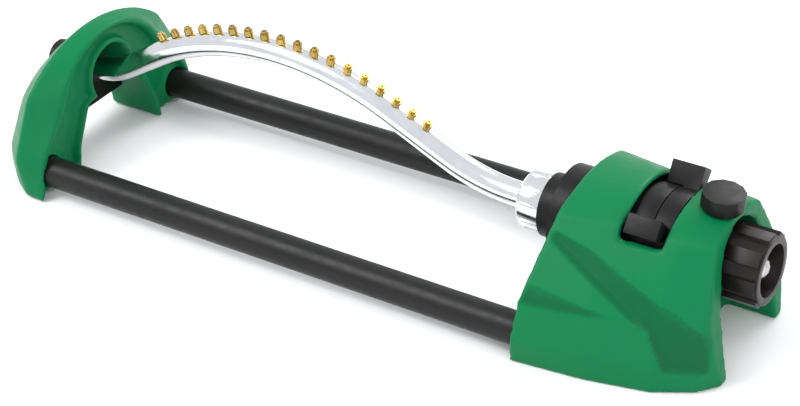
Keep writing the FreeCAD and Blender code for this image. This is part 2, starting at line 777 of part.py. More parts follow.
def bend_points(corner, angle, radius, side):
    """Start, middle and end of a bend at a corner between the axis and a ramp."""
    reach = radius * math.tan(angle / 2)
    level = Vector(corner - side * reach, 0, 0)
    half = angle / 2
    middle = Vector(level.x + side * radius * math.sin(half), radius * (1 - math.cos(half)), 0)
    ramp = Vector(corner + side * reach * math.cos(angle), reach * math.sin(angle), 0)
    return level, middle, ramp


def arch_edges():
    """Lines and tangent arcs of the centreline from tail to head."""
    crest, rise, ends = arch()
    corner, angle, radius = ends["tail"]
    tail_level, tail_middle, tail_ramp = bend_points(corner, angle, size("tail_bend"), 1)
    tail_crown = Vector(crest - radius * math.sin(angle), rise - radius * (1 - math.cos(angle)), 0)
    tail_half = Vector(crest - radius * math.sin(angle / 2), rise - radius * (1 - math.cos(angle / 2)), 0)
    top = Vector(crest, rise, 0)
    corner, angle, radius = ends["head"]
    head_level, head_middle, head_ramp = bend_points(corner, angle, size("head_bend"), -1)
    head_crown = Vector(crest + radius * math.sin(angle), rise - radius * (1 - math.cos(angle)), 0)
    head_half = Vector(crest + radius * math.sin(angle / 2), rise - radius * (1 - math.cos(angle / 2)), 0)
    start = Vector(val(X_END) - size("tail_stub"), 0, 0)
    finish = Vector(val(X_MOTOR) - size("head_stub"), 0, 0)
    return [
        Part.LineSegment(start, tail_level),
        Part.Arc(tail_level, tail_middle, tail_ramp),
        Part.LineSegment(tail_ramp, tail_crown),
        Part.Arc(tail_crown, tail_half, top),
        Part.Arc(top, head_half, head_crown),
        Part.LineSegment(head_crown, head_ramp),
        Part.Arc(head_ramp, head_middle, head_level),
        Part.LineSegment(head_level, finish),
    ]


def nozzle_spots():
    """Distance along the tube of each nozzle, and its placement with +X outward."""
    count = int(size("nozzle_count"))
    for i in range(count):
        along = (i - (count - 1) / 2) * size("nozzle_pitch") + size("nozzle_row_shift")
        x, z, slope = arch_point(along)
        outward = Vector(math.sin(slope), 0, math.cos(slope))
        base = Vector(x, 0, z + size("arm_height"))
        yield i + 1, Placement(base, Rotation(Vector(1, 0, 0), outward))


def make_spray_tube():
    """Chromed tube bent in an arch, drilled for its nozzles."""
    body = doc.addObject("PartDesign::Body", "spray_bend")
    spine = body_sketch(body, "spray_spine", "XZ_Plane")
    spine.addGeometry(arch_edges(), False)
    section = body_sketch(body, "spray_section", "YZ_Plane")
    bind(section, AttachmentOffset__Base__z=f"{X_END} - Sizes.tail_stub")
    for name, radius in (("outer", "Sizes.spray_radius"), ("inner", "Sizes.spray_radius - Sizes.spray_wall")):
        edge = section.addGeometry(Part.Circle(Vector(), Vector(0, 0, 1), val(radius)), False)
        section.addConstraint(Sketcher.Constraint("Coincident", edge, 3, -1, 1))
        index = section.addConstraint(Sketcher.Constraint("Radius", edge, val(radius)))
        section.renameConstraint(index, name)
        section.setExpression("Constraints." + name, radius)
    doc.recompute()
    pipe = body.newObject("PartDesign::AdditivePipe", "spray_pipe")
    pipe.Profile = section
    pipe.Spine = (spine, [f"Edge{i + 1}" for i in range(len(arch_edges()))])
    move(body, "0", "0", Z_ARM)
    drills = []
    for number, placement in nozzle_spots():
        drill = doc.addObject("Part::Cylinder", f"nozzle_drill{number}")
        bind(drill, Radius="Sizes.nozzle_stem + Sizes.press_gap", Height="2 * Sizes.spray_radius")
        drill.Placement = placement.multiply(Placement(Vector(), AXES["X"]))
        drills.append(drill)
    keep(cut("spray_tube_body", body, *drills), "spray_tube")


def make_nozzles():
    """Brass nozzles pressed into the tube along its crest."""
    stem, body = "Sizes.nozzle_stem", "Sizes.nozzle_body"
    tip, jet = "Sizes.nozzle_tip", "Sizes.nozzle_jet"
    inside = "Sizes.spray_radius - Sizes.spray_wall"
    seat = "Sizes.spray_radius + Sizes.press_gap"
    neck = f"{seat} + Sizes.nozzle_body_height"
    end = f"{neck} + Sizes.nozzle_tip_height"
    outline = [(inside, jet), (end, jet), (end, tip), (neck, tip), (neck, body), (seat, body),
               (seat, stem), (inside, stem)]
    for number, placement in nozzle_spots():
        nozzle = turned(f"nozzle_body{number}", outline)
        for axis in "xyz":
            nozzle.setExpression(f"Placement.Base.{axis}", None)
        nozzle.Placement = placement
        keep(nozzle, f"nozzle_{number:02d}")


def make_tube_collar():
    """Ribbed chrome nut that clamps the tube on the hub."""
    front = "-Sizes.head_stub - Sizes.collar_length + 2"
    back = "-Sizes.head_stub + 2"
    step = f"{front} + Sizes.collar_lip"
    bore = "Sizes.spray_radius + Sizes.ring_gap"
    room = "Sizes.spigot_radius + Sizes.press_gap"
    outline = [(front, bore), (step, bore), (step, room), (back, room), (back, "Sizes.collar_radius"),
               (f"{step} - 1", "Sizes.collar_radius"), (front, "Sizes.collar_radius - 1.5")]
    collar = turned("collar_turned", outline, X_MOTOR)
    ribs = []
    count = int(size("collar_ribs"))
    reach = "Sizes.collar_radius + Sizes.collar_rib"
    for i in range(count):
        rib = doc.addObject("Part::Box", f"collar_rib{i}")
        angle = 360 * i / count
        turn = Rotation(Vector(1, 0, 0), angle)
        rib.Placement = Placement(Vector(), turn)
        bind(rib, Length="Sizes.collar_length - Sizes.collar_lip",
             Width="Sizes.collar_rib_width", Height=f"{reach} - Sizes.spigot_radius - 1")
        lift = "Sizes.spigot_radius + 1"
        side = "Sizes.collar_rib_width / 2"
        move(rib, f"{X_MOTOR} + {step}",
             f"-({lift}) * sin({angle} deg) - {side} * cos({angle} deg)",
             f"{Z_ARM} + ({lift}) * cos({angle} deg) - {side} * sin({angle} deg)")
        ribs.append(rib)
    keep(fuse("collar_body", collar, *ribs), "tube_collar")


HUB_END = "Sizes.hub_reach"


def make_arm_hub():
    """Black hollow hub: spigot for the tube, flange, journal and gear seat."""
    face = "-Sizes.spigot_start"
    socket_end = "-Sizes.head_stub + Sizes.loose_gap"
    flange_front = "-Sizes.head_stub + 2 + Sizes.loose_gap"
    flange_back = f"{flange_front} + Sizes.hub_flange_length - 1"
    tube = "Sizes.spray_radius + Sizes.press_gap"
    bore = "Sizes.hub_water_bore"
    journal_end = "Sizes.first_stage - 0.5"
    seal_front, seal_back = "3", "5.2"
    floor = "Sizes.hub_shaft - 1.5"
    clip = "Sizes.first_stage + Sizes.arm_gear_width"
    groove = "Sizes.gear_seat - 0.7"
    outline = [
        (face, tube), (socket_end, tube), (socket_end, bore), (HUB_END, bore),
        (HUB_END, "Sizes.gear_seat"), (f"{clip} + 1", "Sizes.gear_seat"), (f"{clip} + 1", groove),
        (clip, groove), (clip, "Sizes.gear_seat"), (journal_end, "Sizes.gear_seat"),
        (journal_end, "Sizes.hub_shaft"), (seal_back, "Sizes.hub_shaft"), (seal_back, floor),
        (seal_front, floor), (seal_front, "Sizes.hub_shaft"), (flange_back, "Sizes.hub_shaft"),
        (flange_back, "Sizes.hub_flange_radius"), (flange_front, "Sizes.hub_flange_radius"),
        (flange_front, "Sizes.spigot_radius"), (face, "Sizes.spigot_radius"),
    ]
    keep(turned("arm_hub_body", outline, X_MOTOR), "arm_hub")
    ring_radius = "Sizes.hub_shaft - 0.75"
    keep(o_ring("hub_o_ring_body", ring_radius, "0.7", "(3 + 5.2) / 2", X_MOTOR), "hub_o_ring")
    keep(ring("hub_clip_body", f"{groove} + Sizes.press_gap", "Sizes.gear_seat + 1.6",
              f"{clip} + Sizes.press_gap", f"{clip} + 1 - Sizes.press_gap", X_MOTOR), "hub_clip")
    seal_start = "-Sizes.spigot_start - Sizes.seal_thickness"
    keep(ring("tube_seal_body", "Sizes.spray_radius + Sizes.press_gap", "Sizes.spigot_radius - 0.2",
              seal_start, "-Sizes.spigot_start - Sizes.press_gap", X_MOTOR), "tube_seal")


def make_tail_sleeve():
    """Black sleeve on the tube's tail end; its journal turns in the tail bush."""
    front = "-Sizes.sleeve_start"
    shoulder = "-Sizes.sleeve_shoulder"
    end = "-Sizes.sleeve_end"
    tube = "Sizes.spray_radius + Sizes.press_gap"
    tail = "-Sizes.tail_stub - Sizes.loose_gap"
    outline = [
        (front, tube), (front, "Sizes.sleeve_radius"), (shoulder, "Sizes.sleeve_radius"),
        (shoulder, "Sizes.journal_radius"), (end, "Sizes.journal_radius"), (end, "Sizes.plug_bore"),
        (tail, "Sizes.plug_bore"), (tail, tube),
    ]
    keep(turned("tail_sleeve_body", outline, X_END), "tail_sleeve")


# ---------------------------------------------------------------- clean-out plug

def make_cleanout_plug():
    """Fluted plug in the arm's tail, with the needle that clears the nozzles."""
    face = "-Sizes.end_reach"
    under = "-Sizes.sleeve_end - Sizes.press_gap"
    inner = "-Sizes.sleeve_end + 9"
    spigot = "Sizes.plug_bore - Sizes.run_gap"
    groove = "Sizes.plug_bore - 1.2"
    bore = "Sizes.needle_radius + Sizes.press_gap"
    deep = "-Sizes.sleeve_end + 1"
    outline = [
        (face, "0"), (face, "Sizes.plug_head_radius - 1"), (f"{face} + 1", "Sizes.plug_head_radius"),
        (under, "Sizes.plug_head_radius"), (under, spigot), (f"{inner} - 4", spigot),
        (f"{inner} - 4", groove), (f"{inner} - 2.5", groove), (f"{inner} - 2.5", spigot),
        (inner, spigot), (inner, bore), (deep, bore), (deep, "0"),
    ]
    plug = turned("plug_turned", outline, X_END)
    flutes = []
    count = int(size("plug_flutes"))
    for i in range(count):
        angle = 360 * i / count
        flutes.append(rod(f"plug_flute{i}", "Sizes.flute_radius", "Sizes.end_depth",
                          f"{X_END} - Sizes.end_depth - Sizes.sleeve_end - 1",
                          f"(Sizes.plug_head_radius + 0.6) * cos({angle} deg)",
                          f"{Z_ARM} + (Sizes.plug_head_radius + 0.6) * sin({angle} deg)"))
    keep(cut("plug_body", plug, *flutes), "cleanout_plug")
    keep(rod("needle_body", "Sizes.needle_radius", "Sizes.sleeve_end - 1 - Sizes.needle_start",
             f"{X_END} - Sizes.sleeve_end + 1", "0", Z_ARM), "cleanout_needle")
    keep(o_ring("plug_o_ring_body", "Sizes.plug_bore - 0.65", "0.55", f"({inner} - 3.25)", X_END),
         "plug_o_ring")


# ---------------------------------------------------------------- motor housing

MOTOR_STATIONS = [
    ("front", "-2"),
    ("mid", "Sizes.mid_station"),
    ("wall", "Sizes.wall_station"),
    ("hood", "Sizes.hood_station"),
    ("rear", "Sizes.motor_depth"),
]


def motor_outline(key):
    """Half outline of one section of the motor housing."""
    return [
        (f"Sizes.{key}_foot", "-1"),
        (f"Sizes.{key}_hip", "Sizes.hip_height"),
        (f"Sizes.{key}_waist", "Sizes.waist_height"),
        (f"Sizes.{key}_crease", "Sizes.crease_height"),
    ]


def motor_loft(name, wall):
    """The housing's shape, set in by a wall, from just below the lawn."""
    sketches = []
    for key, station in MOTOR_STATIONS:
        half = inset(motor_outline(key), wall, (0, 0, 0, 0.8))
        points, arc, via = arched(half, f"Sizes.{key}_top - {wall}")
        sketches.append(across(f"{name}_{key}", f"{X_MOTOR} + {station}", points, arc, via))
    return loft(name, sketches)


def raked_span(name, front, back, bottom="-1"):
    """A prism between planes that lean like the housing's two ends."""
    top = "(Sizes.front_top + 10)"
    x = X_MOTOR
    points = [
        (f"{x} + {front} + Sizes.front_rake * ({bottom})", bottom),
        (f"{x} + {back} - Sizes.back_rake * ({bottom})", bottom),
        (f"{x} + {back} - Sizes.back_rake * ({top})", top),
        (f"{x} + {front} + Sizes.front_rake * ({top})", top),
    ]
    return side_prism(name, points, "2 * Sizes.front_hip")


def upright_span(name, front, back):
    """A box across the housing between two upright planes."""
    return block(name, f"({back}) - ({front})", "4 * Sizes.front_hip", "2 * Sizes.front_top",
                 f"{X_MOTOR} + {front}", "-2 * Sizes.front_hip", "-1")


def mouth(name, margin, front, back):
    """The arched opening around the inlet, grown by a margin."""
    half = [
        (f"Sizes.mouth_foot + {margin}", "-1"),
        (f"Sizes.mouth_waist + {margin}", "Sizes.mouth_waist_height"),
        (f"Sizes.mouth_shoulder + {margin}", "Sizes.mouth_shoulder_height"),
    ]
    points, arc, via = arched(half, f"Sizes.mouth_top + {margin} / 2")
    return prism(name, across(name + "_outline", f"{X_MOTOR} + {front}", points, arc, via),
                 f"({back}) - ({front})")


def post_spots():
    """Where the floor plate's screw posts stand: (x, y)."""
    return [
        (f"{X_MOTOR} + Sizes.{station}", f"{side} * Sizes.post_side")
        for station in ("front_post", "rear_post")
        for side in (-1, 1)
    ]


def knob_axis(item, distance):
    """Place an item on the knob's leaning axis, its own Z along it."""
    lean = Rotation(Vector(0, 1, 0), size("knob_tilt"))
    item.Placement = Placement(Vector(), lean)
    return move(item, f"{X_MOTOR} + Sizes.knob_station + ({distance}) * sin(Sizes.knob_tilt * 1 deg)",
                "0", f"{Z_ARM} + ({distance}) * cos(Sizes.knob_tilt * 1 deg)")


def leaning_rod(name, radius, start, length):
    """A cylinder on the knob's axis."""
    item = doc.addObject("Part::Cylinder", name)
    bind(item, Radius=radius, Height=length)
    return knob_axis(item, start)


def make_motor_housing():
    """Green shell over the gear case, with roof slot, knob hole and inlet hood."""
    wall = "Sizes.shell_wall"
    body = motor_loft("motor_outer", "0")
    inner = motor_loft("motor_inner", wall)
    envelope = common("motor_envelope", body, raked_span("motor_span", "0", "Sizes.motor_depth", "0"))
    front_room = common("front_room", inner,
                        upright_span("front_span", "-5", f"Sizes.recess_wall - {wall}"),
                        raked_span("front_lean", wall, "2 * Sizes.motor_depth"))
    hood = mouth("hood_wall", wall, f"Sizes.recess_wall - {wall}", "2 * Sizes.motor_depth")
    side_room = cut("side_room",
                    common("side_space", inner, upright_span("side_span", "Sizes.recess_wall",
                                                             "2 * Sizes.motor_depth"),
                           raked_span("side_lean", "0", f"Sizes.motor_depth - {wall}")),
                    hood)
    opening = mouth("hood_opening", "0", "Sizes.recess_wall", "2 * Sizes.motor_depth")
    slot = block("roof_slot", "Sizes.slot_width", "4 * Sizes.mid_crease", "Sizes.front_top",
                 f"{X_MOTOR} + Sizes.slot_front", "-2 * Sizes.mid_crease", "Sizes.slot_bottom")
    knob_hole = leaning_rod("knob_hole", "Sizes.spindle_radius + Sizes.loose_gap * 2",
                            "Sizes.boss_top", "20")
    boss_room = leaning_rod("boss_room", "Sizes.boss_radius + Sizes.loose_gap", "5",
                            "Sizes.boss_top - 5 + Sizes.loose_gap")
    nose_hole = rod("nose_hole", "Sizes.nose_radius + Sizes.loose_gap", "Sizes.case_front + 5",
                    f"{X_MOTOR} - 5", "0", Z_ARM)
    pipe_hole = rod("pipe_hole", "Sizes.pipe_radius + Sizes.loose_gap", "20",
                    f"{X_MOTOR} + Sizes.recess_wall - 10", "0", Z_ARM)
    shell = cut("motor_shell", envelope, front_room, side_room, opening, slot)
    sockets = tube_sockets("motor_sockets", X_MOTOR, f"Sizes.socket_depth + {wall}", envelope)
    posts = [
        rod(f"floor_post{i}", "Sizes.post_radius", "Sizes.crease_height",
            x, y, "Sizes.floor_bottom + Sizes.floor_thickness", "Z")
        for i, (x, y) in enumerate(post_spots())
    ]
    standing = cut("standing_posts", common("floor_posts", envelope, fuse("floor_post_set", *posts)),
                   mouth("post_clearance", "0", "Sizes.recess_wall", "2 * Sizes.motor_depth"))
    joined = fuse("motor_joined", shell, sockets, standing)
    pilots = [
        rod(f"floor_pilot{i}", "Sizes.screw_radius + Sizes.press_gap", "14", x, y, "0", "Z")
        for i, (x, y) in enumerate(post_spots())
    ]
    bores = tube_bores("motor_tubes", f"{X_MOTOR} - 1", "Sizes.socket_depth + 1", TUBE_SCREW_X[1])
    keep(cut("motor_housing_body", joined, knob_hole, boss_room, nose_hole, pipe_hole, *bores, *pilots),
         "motor_housing")


def make_floor_plate():
    """Black plate that closes the housing from below and carries the gear case."""
    x = X_MOTOR
    front, back = f"{x} + Sizes.floor_front", f"{x} + Sizes.floor_back"
    plate = block("floor_slab", f"({back}) - ({front})", "2 * Sizes.floor_half_width",
                  "Sizes.floor_thickness", front, "-Sizes.floor_half_width", "Sizes.floor_bottom")
    holes = [
        rod(f"floor_hole{i}", "Sizes.screw_radius + Sizes.run_gap", "20", hx, hy, "-5", "Z")
        for i, (hx, hy) in enumerate(post_spots())
    ]
    keep(cut("floor_body", plate, *holes), "floor_plate")


def make_floor_screws():
    """Four screws through the floor plate into the housing's posts."""
    screws = []
    drop = "Sizes.floor_bottom - Sizes.screw_head_height"
    for i, (x, y) in enumerate(post_spots()):
        head = rod(f"floor_screw_head{i}", "Sizes.screw_head", "Sizes.screw_head_height", x, y, drop, "Z")
        shank = rod(f"floor_screw_shank{i}", "Sizes.screw_radius", "Sizes.screw_head_height + 9",
                    x, y, drop, "Z")
        screws.append(fuse(f"floor_screw{i}", head, shank))
    keep(group("floor_screw_set", *screws), "floor_screws")


# ---------------------------------------------------------------- gear case

CASE_FLOOR = "Sizes.floor_bottom + Sizes.floor_thickness"


def case_form(name, front, back, wall):
    """Drum with a square gear chamber under it, set in by a wall."""
    drum = rod(name + "_drum", f"Sizes.case_radius - ({wall})", f"({back}) - ({front})",
               f"{X_MOTOR} + {front}", "0", Z_ARM)
    chamber = block(name + "_chamber", f"({back}) - ({front})", f"2 * (Sizes.case_half_width - ({wall}))",
                    f"{Z_ARM} - ({CASE_FLOOR}) - 2 * ({wall})", f"{X_MOTOR} + {front}",
                    f"-Sizes.case_half_width + {wall}", f"{CASE_FLOOR} + {wall}")
    return fuse(name, drum, chamber)


def ear_spots():
    """Where the case screws run, beside the gear chamber: (y, z)."""
    return [
        (f"{side} * (Sizes.case_half_width + Sizes.screw_radius)", f"{CASE_FLOOR} + {lift}")
        for side in (-1, 1)
        for lift in ("4", "26")
    ]


def ears(name, front, back):
    """Round lugs for the case screws."""
    return [
        rod(f"{name}{i}", "Sizes.screw_head", f"({back}) - ({front})", f"{X_MOTOR} + {front}", y, z)
        for i, (y, z) in enumerate(ear_spots())
    ]


def ear_holes(name, clearance):
    """Screw holes through the lugs."""
    return [
        rod(f"{name}{i}", f"Sizes.screw_radius + {clearance}", "14",
            f"{X_MOTOR} + Sizes.case_back - 7", y, z)
        for i, (y, z) in enumerate(ear_spots())
    ]


def pin_spots():
    """Axes of the two idler pins: (y, z) as numbers."""
    first, second, _ = gear_centres()
    return [first, second]


def make_gear_case():
    """Black water-tight case: round nose, drum under the roof, gear chamber below."""
    wall = "Sizes.case_wall"
    outside = case_form("case_outside", "Sizes.case_front", "Sizes.case_back", "0")
    nose = rod("case_nose", "Sizes.nose_radius", "Sizes.case_front + Sizes.nose_front + 1",
               f"{X_MOTOR} - Sizes.nose_front", "0", Z_ARM)
    body = fuse("case_solid", outside, nose, *ears("case_ear", "(Sizes.case_back - 7)", "Sizes.case_back"))
    room = case_form("case_room", "Sizes.first_stage - 1", "Sizes.case_back + 1", wall)
    bore = rod("case_bore", "Sizes.hub_shaft + Sizes.run_gap", "Sizes.case_front + Sizes.nose_front + 5",
               f"{X_MOTOR} - Sizes.nose_front - 1", "0", Z_ARM)
    seats = [
        rod(f"pin_seat{i}", "Sizes.pin_radius + Sizes.press_gap", "3",
            f"{X_MOTOR} + Sizes.first_stage - 2.5", str(y), str(z))
        for i, (y, z) in enumerate(pin_spots())
    ]
    keep(cut("gear_case_body", body, room, bore, *seats, *ear_holes("case_thread", "Sizes.press_gap")),
         "gear_case")


def make_case_cover():
    """Rear cover with the inlet pipe and the flow valve's boss."""
    start = "Sizes.case_back + Sizes.gasket_thickness"
    end = f"{start} + Sizes.cover_thickness"
    plate = case_form("cover_plate", start, end, "0")
    pipe = rod("inlet_pipe", "Sizes.pipe_radius", f"Sizes.pipe_end - ({start})",
               f"{X_MOTOR} + {start}", "0", Z_ARM)
    flange = rod("inlet_flange", "Sizes.pipe_flange", "Sizes.pipe_flange_length",
                 f"{X_MOTOR} + Sizes.pipe_end - Sizes.pipe_flange_length", "0", Z_ARM)
    boss = leaning_rod("valve_boss", "Sizes.boss_radius", "2", "Sizes.boss_top - 2")
    body = fuse("cover_solid", plate, pipe, flange, boss, *ears("cover_ear", start, end))
    bore = rod("inlet_bore", "Sizes.pipe_bore", "Sizes.pipe_end", f"{X_MOTOR} + {start} - 1", "0", Z_ARM)
    stem = leaning_rod("valve_bore", "Sizes.spindle_radius + Sizes.run_gap", "0", "Sizes.boss_top + 1")
    keep(cut("case_cover_body", body, bore, stem, *ear_holes("cover_hole", "Sizes.run_gap")), "case_cover")


def make_case_gasket():
    """Flat rubber gasket between case and cover."""
    start, end = "Sizes.case_back", "Sizes.case_back + Sizes.gasket_thickness"
    outside = case_form("gasket_outside", start, end, "0.4")
    inside = case_form("gasket_inside", "Sizes.case_back - 1", f"{end} + 1", "Sizes.case_wall + 0.2")
    keep(cut("gasket_body", outside, inside), "case_gasket")


def make_case_screws():
    """Four screws that hold the cover on the case."""
    back = f"{X_MOTOR} + Sizes.case_back + Sizes.gasket_thickness + Sizes.cover_thickness"
    screws = []
    for i, (y, z) in enumerate(ear_spots()):
        head = rod(f"case_screw_head{i}", "Sizes.screw_head - 0.4", "1.4", back, y, z)
        shank = rod(f"case_screw_shank{i}", "Sizes.screw_radius", "9", f"{back} - 9 + 1", y, z)
        screws.append(fuse(f"case_screw{i}", head, shank))
    keep(group("case_screw_set", *screws), "case_screws")


def inner_plate(name, station, turbine_hole, extra):
    """A plate across the case's inside, with water ports."""
    fit = "Sizes.case_wall + Sizes.press_gap"
    form = case_form(name + "_form", station, f"{station} + Sizes.plate_thickness", fit)
    _, _, (ty, tz) = gear_centres()
    x = f"{X_MOTOR} + {station} - 1"
    holes = [rod(name + "_turbine", turbine_hole, "6", x, str(ty), str(tz))]
    for i, (y, z) in enumerate(extra):
        holes.append(rod(f"{name}_hole{i}", "Sizes.pin_radius + Sizes.press_gap", "6", x, str(y), str(z)))
    for i, (y, z) in enumerate((("-15", "-10"), ("16", "2"), ("-12", "8"), ("-16", "-30"))):
        holes.append(rod(f"{name}_port{i}", "Sizes.port_radius", "6", x, y, f"{Z_ARM} + {z}"))
    return cut(name, form, *holes)


def make_inner_plates():
    """The gear plate that carries the pins and the jet plate that aims the water."""
    bearing = "Sizes.turbine_shaft + Sizes.run_gap"
    keep(inner_plate("gear_plate_body", "Sizes.plate_front", bearing, pin_spots()), "gear_plate")
    lever = ("Sizes.lever_pin_side", f"{Z_ARM} - Sizes.lever_pin_drop")
    keep(inner_plate("jet_plate_body", "Sizes.jet_front", bearing, [lever]), "jet_plate")


# ---------------------------------------------------------------- gear train

def pitch_radius(teeth_alias):
    """Pitch radius of a gear."""
    return size("gear_module") * size(teeth_alias) / 2


def gear_centres():
    """Axes of first idler, second idler and turbine: (y, z)."""
    axis_z = size("arm_height")
    first = (0.0, axis_z - pitch_radius("arm_teeth") - pitch_radius("pinion_teeth"))
    step = pitch_radius("wheel_teeth") + pitch_radius("pinion_teeth")
    spots = [first]
    for alias in ("second_idler_angle", "turbine_angle"):
        angle = math.radians(size(alias))
        y, z = spots[-1]
        spots.append((y + step * math.cos(angle), z + step * math.sin(angle)))
    return spots


def involute(angle):
    """The involute function."""
    return math.tan(angle) - angle


def gear_face(teeth, phase):
    """Face of a spur gear in the YZ plane, with the middle of one tooth at phase."""
    module = size("gear_module")
    pressure = math.radians(size("pressure_angle"))
    pitch = module * teeth / 2
    base = pitch * math.cos(pressure)
    tip = pitch + 0.8 * module
    root = pitch - 1.05 * module
    half_tooth = math.pi / (2 * teeth) - size("tooth_backlash") / pitch + involute(pressure)
    lowest = max(base, root + 0.05)
    flank = []
    for i in range(4):
        radius = lowest + (tip - lowest) * i / 3
        flank.append((radius, half_tooth - involute(math.acos(min(1.0, base / radius)))))
    corners = []
    for tooth in range(teeth):
        middle = phase + 2 * math.pi * tooth / teeth
        rising = [(root, middle - flank[0][1])] + [(r, middle - a) for r, a in flank]
        falling = [(r, middle + a) for r, a in reversed(flank)] + [(root, middle + flank[0][1])]
        corners += rising + falling
    points = [Vector(0, r * math.cos(a), r * math.sin(a)) for r, a in corners]
    return Part.Face(Part.makePolygon(points + [points[0]]))


def gear_solid(teeth, phase, bore, start, width):
    """A spur gear from start, along +X."""
    solid = gear_face(teeth, phase).extrude(Vector(width, 0, 0))
    solid.translate(Vector(start, 0, 0))
    hole = Part.makeCylinder(bore, width + 2, Vector(start - 1, 0, 0), Vector(1, 0, 0))
    return solid.cut(hole)


def tube_solid(outer, inner, start, length):
    """A plain sleeve along +X."""
    solid = Part.makeCylinder(outer, length, Vector(start, 0, 0), Vector(1, 0, 0))
    hole = Part.makeCylinder(inner, length + 2, Vector(start - 1, 0, 0), Vector(1, 0, 0))
    return solid.cut(hole)


def mesh_phase(from_centre, to_centre, from_teeth, from_phase, to_teeth):
    """Phase that puts a gear in mesh with the one that it meets."""
    direction = math.atan2(to_centre[1] - from_centre[1], to_centre[0] - from_centre[0])
    part = (direction - from_phase) * from_teeth / (2 * math.pi)
    return direction + math.pi - (0.5 - part) * 2 * math.pi / to_teeth


def gear_feature(name, shape, y, z):
    """A piece of the gear train at its own axis."""
    item = doc.addObject("Part::Feature", name)
    item.Shape = shape
    item.Placement = Placement(Vector(val(X_MOTOR), y, z), Rotation())
    return item


def make_gear_train():
    """Arm gear, two compound idlers and the turbine's pinion shaft, all in mesh."""
    arm, wheel, pinion = (int(size(key)) for key in ("arm_teeth", "wheel_teeth", "pinion_teeth"))
    axis = (0.0, size("arm_height"))
    first, second, turbine = gear_centres()
    width, gap = size("gear_width"), size("run_gap")
    stages = [size("first_stage"), size("second_stage"), size("third_stage")]
    pin_bore = size("pin_radius") + gap
    arm_gear = gear_solid(arm, 0.0, size("gear_seat") + size("press_gap"), stages[0], size("arm_gear_width"))
    keep(gear_feature("arm_gear_body", arm_gear, *axis), "arm_gear")
    phase = mesh_phase(axis, first, arm, 0.0, pinion)
    idlers = (("first_idler", first, second, 0), ("second_idler", second, turbine, 1))
    for label, centre, target, stage in idlers:
        start, following = stages[stage], stages[stage + 1]
        pinion_width = size("arm_gear_width") if stage == 0 else width
        wheel_start = following
        shape = gear_solid(pinion, phase, pin_bore, start, pinion_width)
        neck = tube_solid(pitch_radius("pinion_teeth") - size("gear_module"), pin_bore, start,
                          wheel_start - start + 1)
        shape = shape.fuse(neck).fuse(gear_solid(wheel, phase, pin_bore, wheel_start, width))
        keep(gear_feature(label + "_body", shape.removeSplitter(), *centre), label)
        phase = mesh_phase(centre, target, wheel, phase, pinion)
    shaft_end = size("jet_front") + size("plate_thickness") + 0.5
    shaft = Part.makeCylinder(size("turbine_shaft"), shaft_end - stages[2], Vector(stages[2], 0, 0),
                              Vector(1, 0, 0))
    toothed = gear_solid(pinion, phase, size("turbine_shaft") / 2, stages[2], width)
    keep(gear_feature("turbine_shaft_body", shaft.fuse(toothed), *turbine), "turbine_shaft")


def make_turbine():
    """Bladed wheel that the water jets turn."""
    _, _, (y, z) = gear_centres()
    start, width = "Sizes.turbine_start", "Sizes.turbine_width"
    count = int(size("turbine_blades"))
    hub = rod("turbine_core", "Sizes.turbine_hub", width, f"{X_MOTOR} + {start}", str(y), str(z))
    disc = rod("turbine_disc", "Sizes.turbine_radius", "1.2", f"{X_MOTOR} + {start}", str(y), str(z))
    blades = []
    for i in range(count):
        angle = 360 * i / count
        blade = doc.addObject("Part::Box", f"turbine_blade{i}")
        blade.Placement = Placement(Vector(), Rotation(Vector(1, 0, 0), angle))
        bind(blade, Length=width, Width="Sizes.turbine_radius", Height="Sizes.blade_thickness")
        move(blade, f"{X_MOTOR} + {start}",
             f"{y} + Sizes.blade_thickness / 2 * sin({angle} deg)",
             f"{z} - Sizes.blade_thickness / 2 * cos({angle} deg)")
        blades.append(blade)
    body = fuse("turbine_solid", hub, disc, *blades)
    bore = rod("turbine_bore", "Sizes.turbine_shaft + Sizes.press_gap", "30",
               f"{X_MOTOR} + {start} - 5", str(y), str(z))
    keep(cut("turbine_body", body, bore), "turbine_wheel")


def make_gear_pins():
    """Fixed steel pins that the idlers turn on."""
    pins = [
        rod(f"idler_pin{i}", "Sizes.pin_radius",
            "Sizes.plate_front + Sizes.plate_thickness - Sizes.first_stage + 2.4",
            f"{X_MOTOR} + Sizes.first_stage - 2.4", str(y), str(z))
        for i, (y, z) in enumerate(pin_spots())
    ]
    keep(group("idler_pin_set", *pins), "gear_pins")


def make_reversing_lever():
    """Lever behind the jet plate that swings the jets to turn the arm back."""
    start = "Sizes.jet_front + Sizes.plate_thickness + 0.5"
    y = "Sizes.lever_pin_side"
    z = f"{Z_ARM} - Sizes.lever_pin_drop"
    x = f"{X_MOTOR} + {start}"
    pivot = rod("lever_pivot", "Sizes.lever_width / 2 + 1", "Sizes.lever_thickness", x, y, z)
    arm = block("lever_arm", "Sizes.lever_thickness", "Sizes.lever_length", "Sizes.lever_width",
                x, y, f"{z} - Sizes.lever_width / 2")
    blade = block("lever_blade", "Sizes.lever_thickness + 3", "2", "2 * Sizes.lever_width",
                  x, f"{y} + Sizes.lever_length - 1", f"{z} - Sizes.lever_width")
    stub = rod("lever_stub", "Sizes.pin_radius - Sizes.run_gap", "3",
               f"{x} - Sizes.plate_thickness - 0.4", y, z)
    keep(fuse("lever_body", pivot, arm, blade, stub), "reversing_lever")


# ---------------------------------------------------------------- range tabs

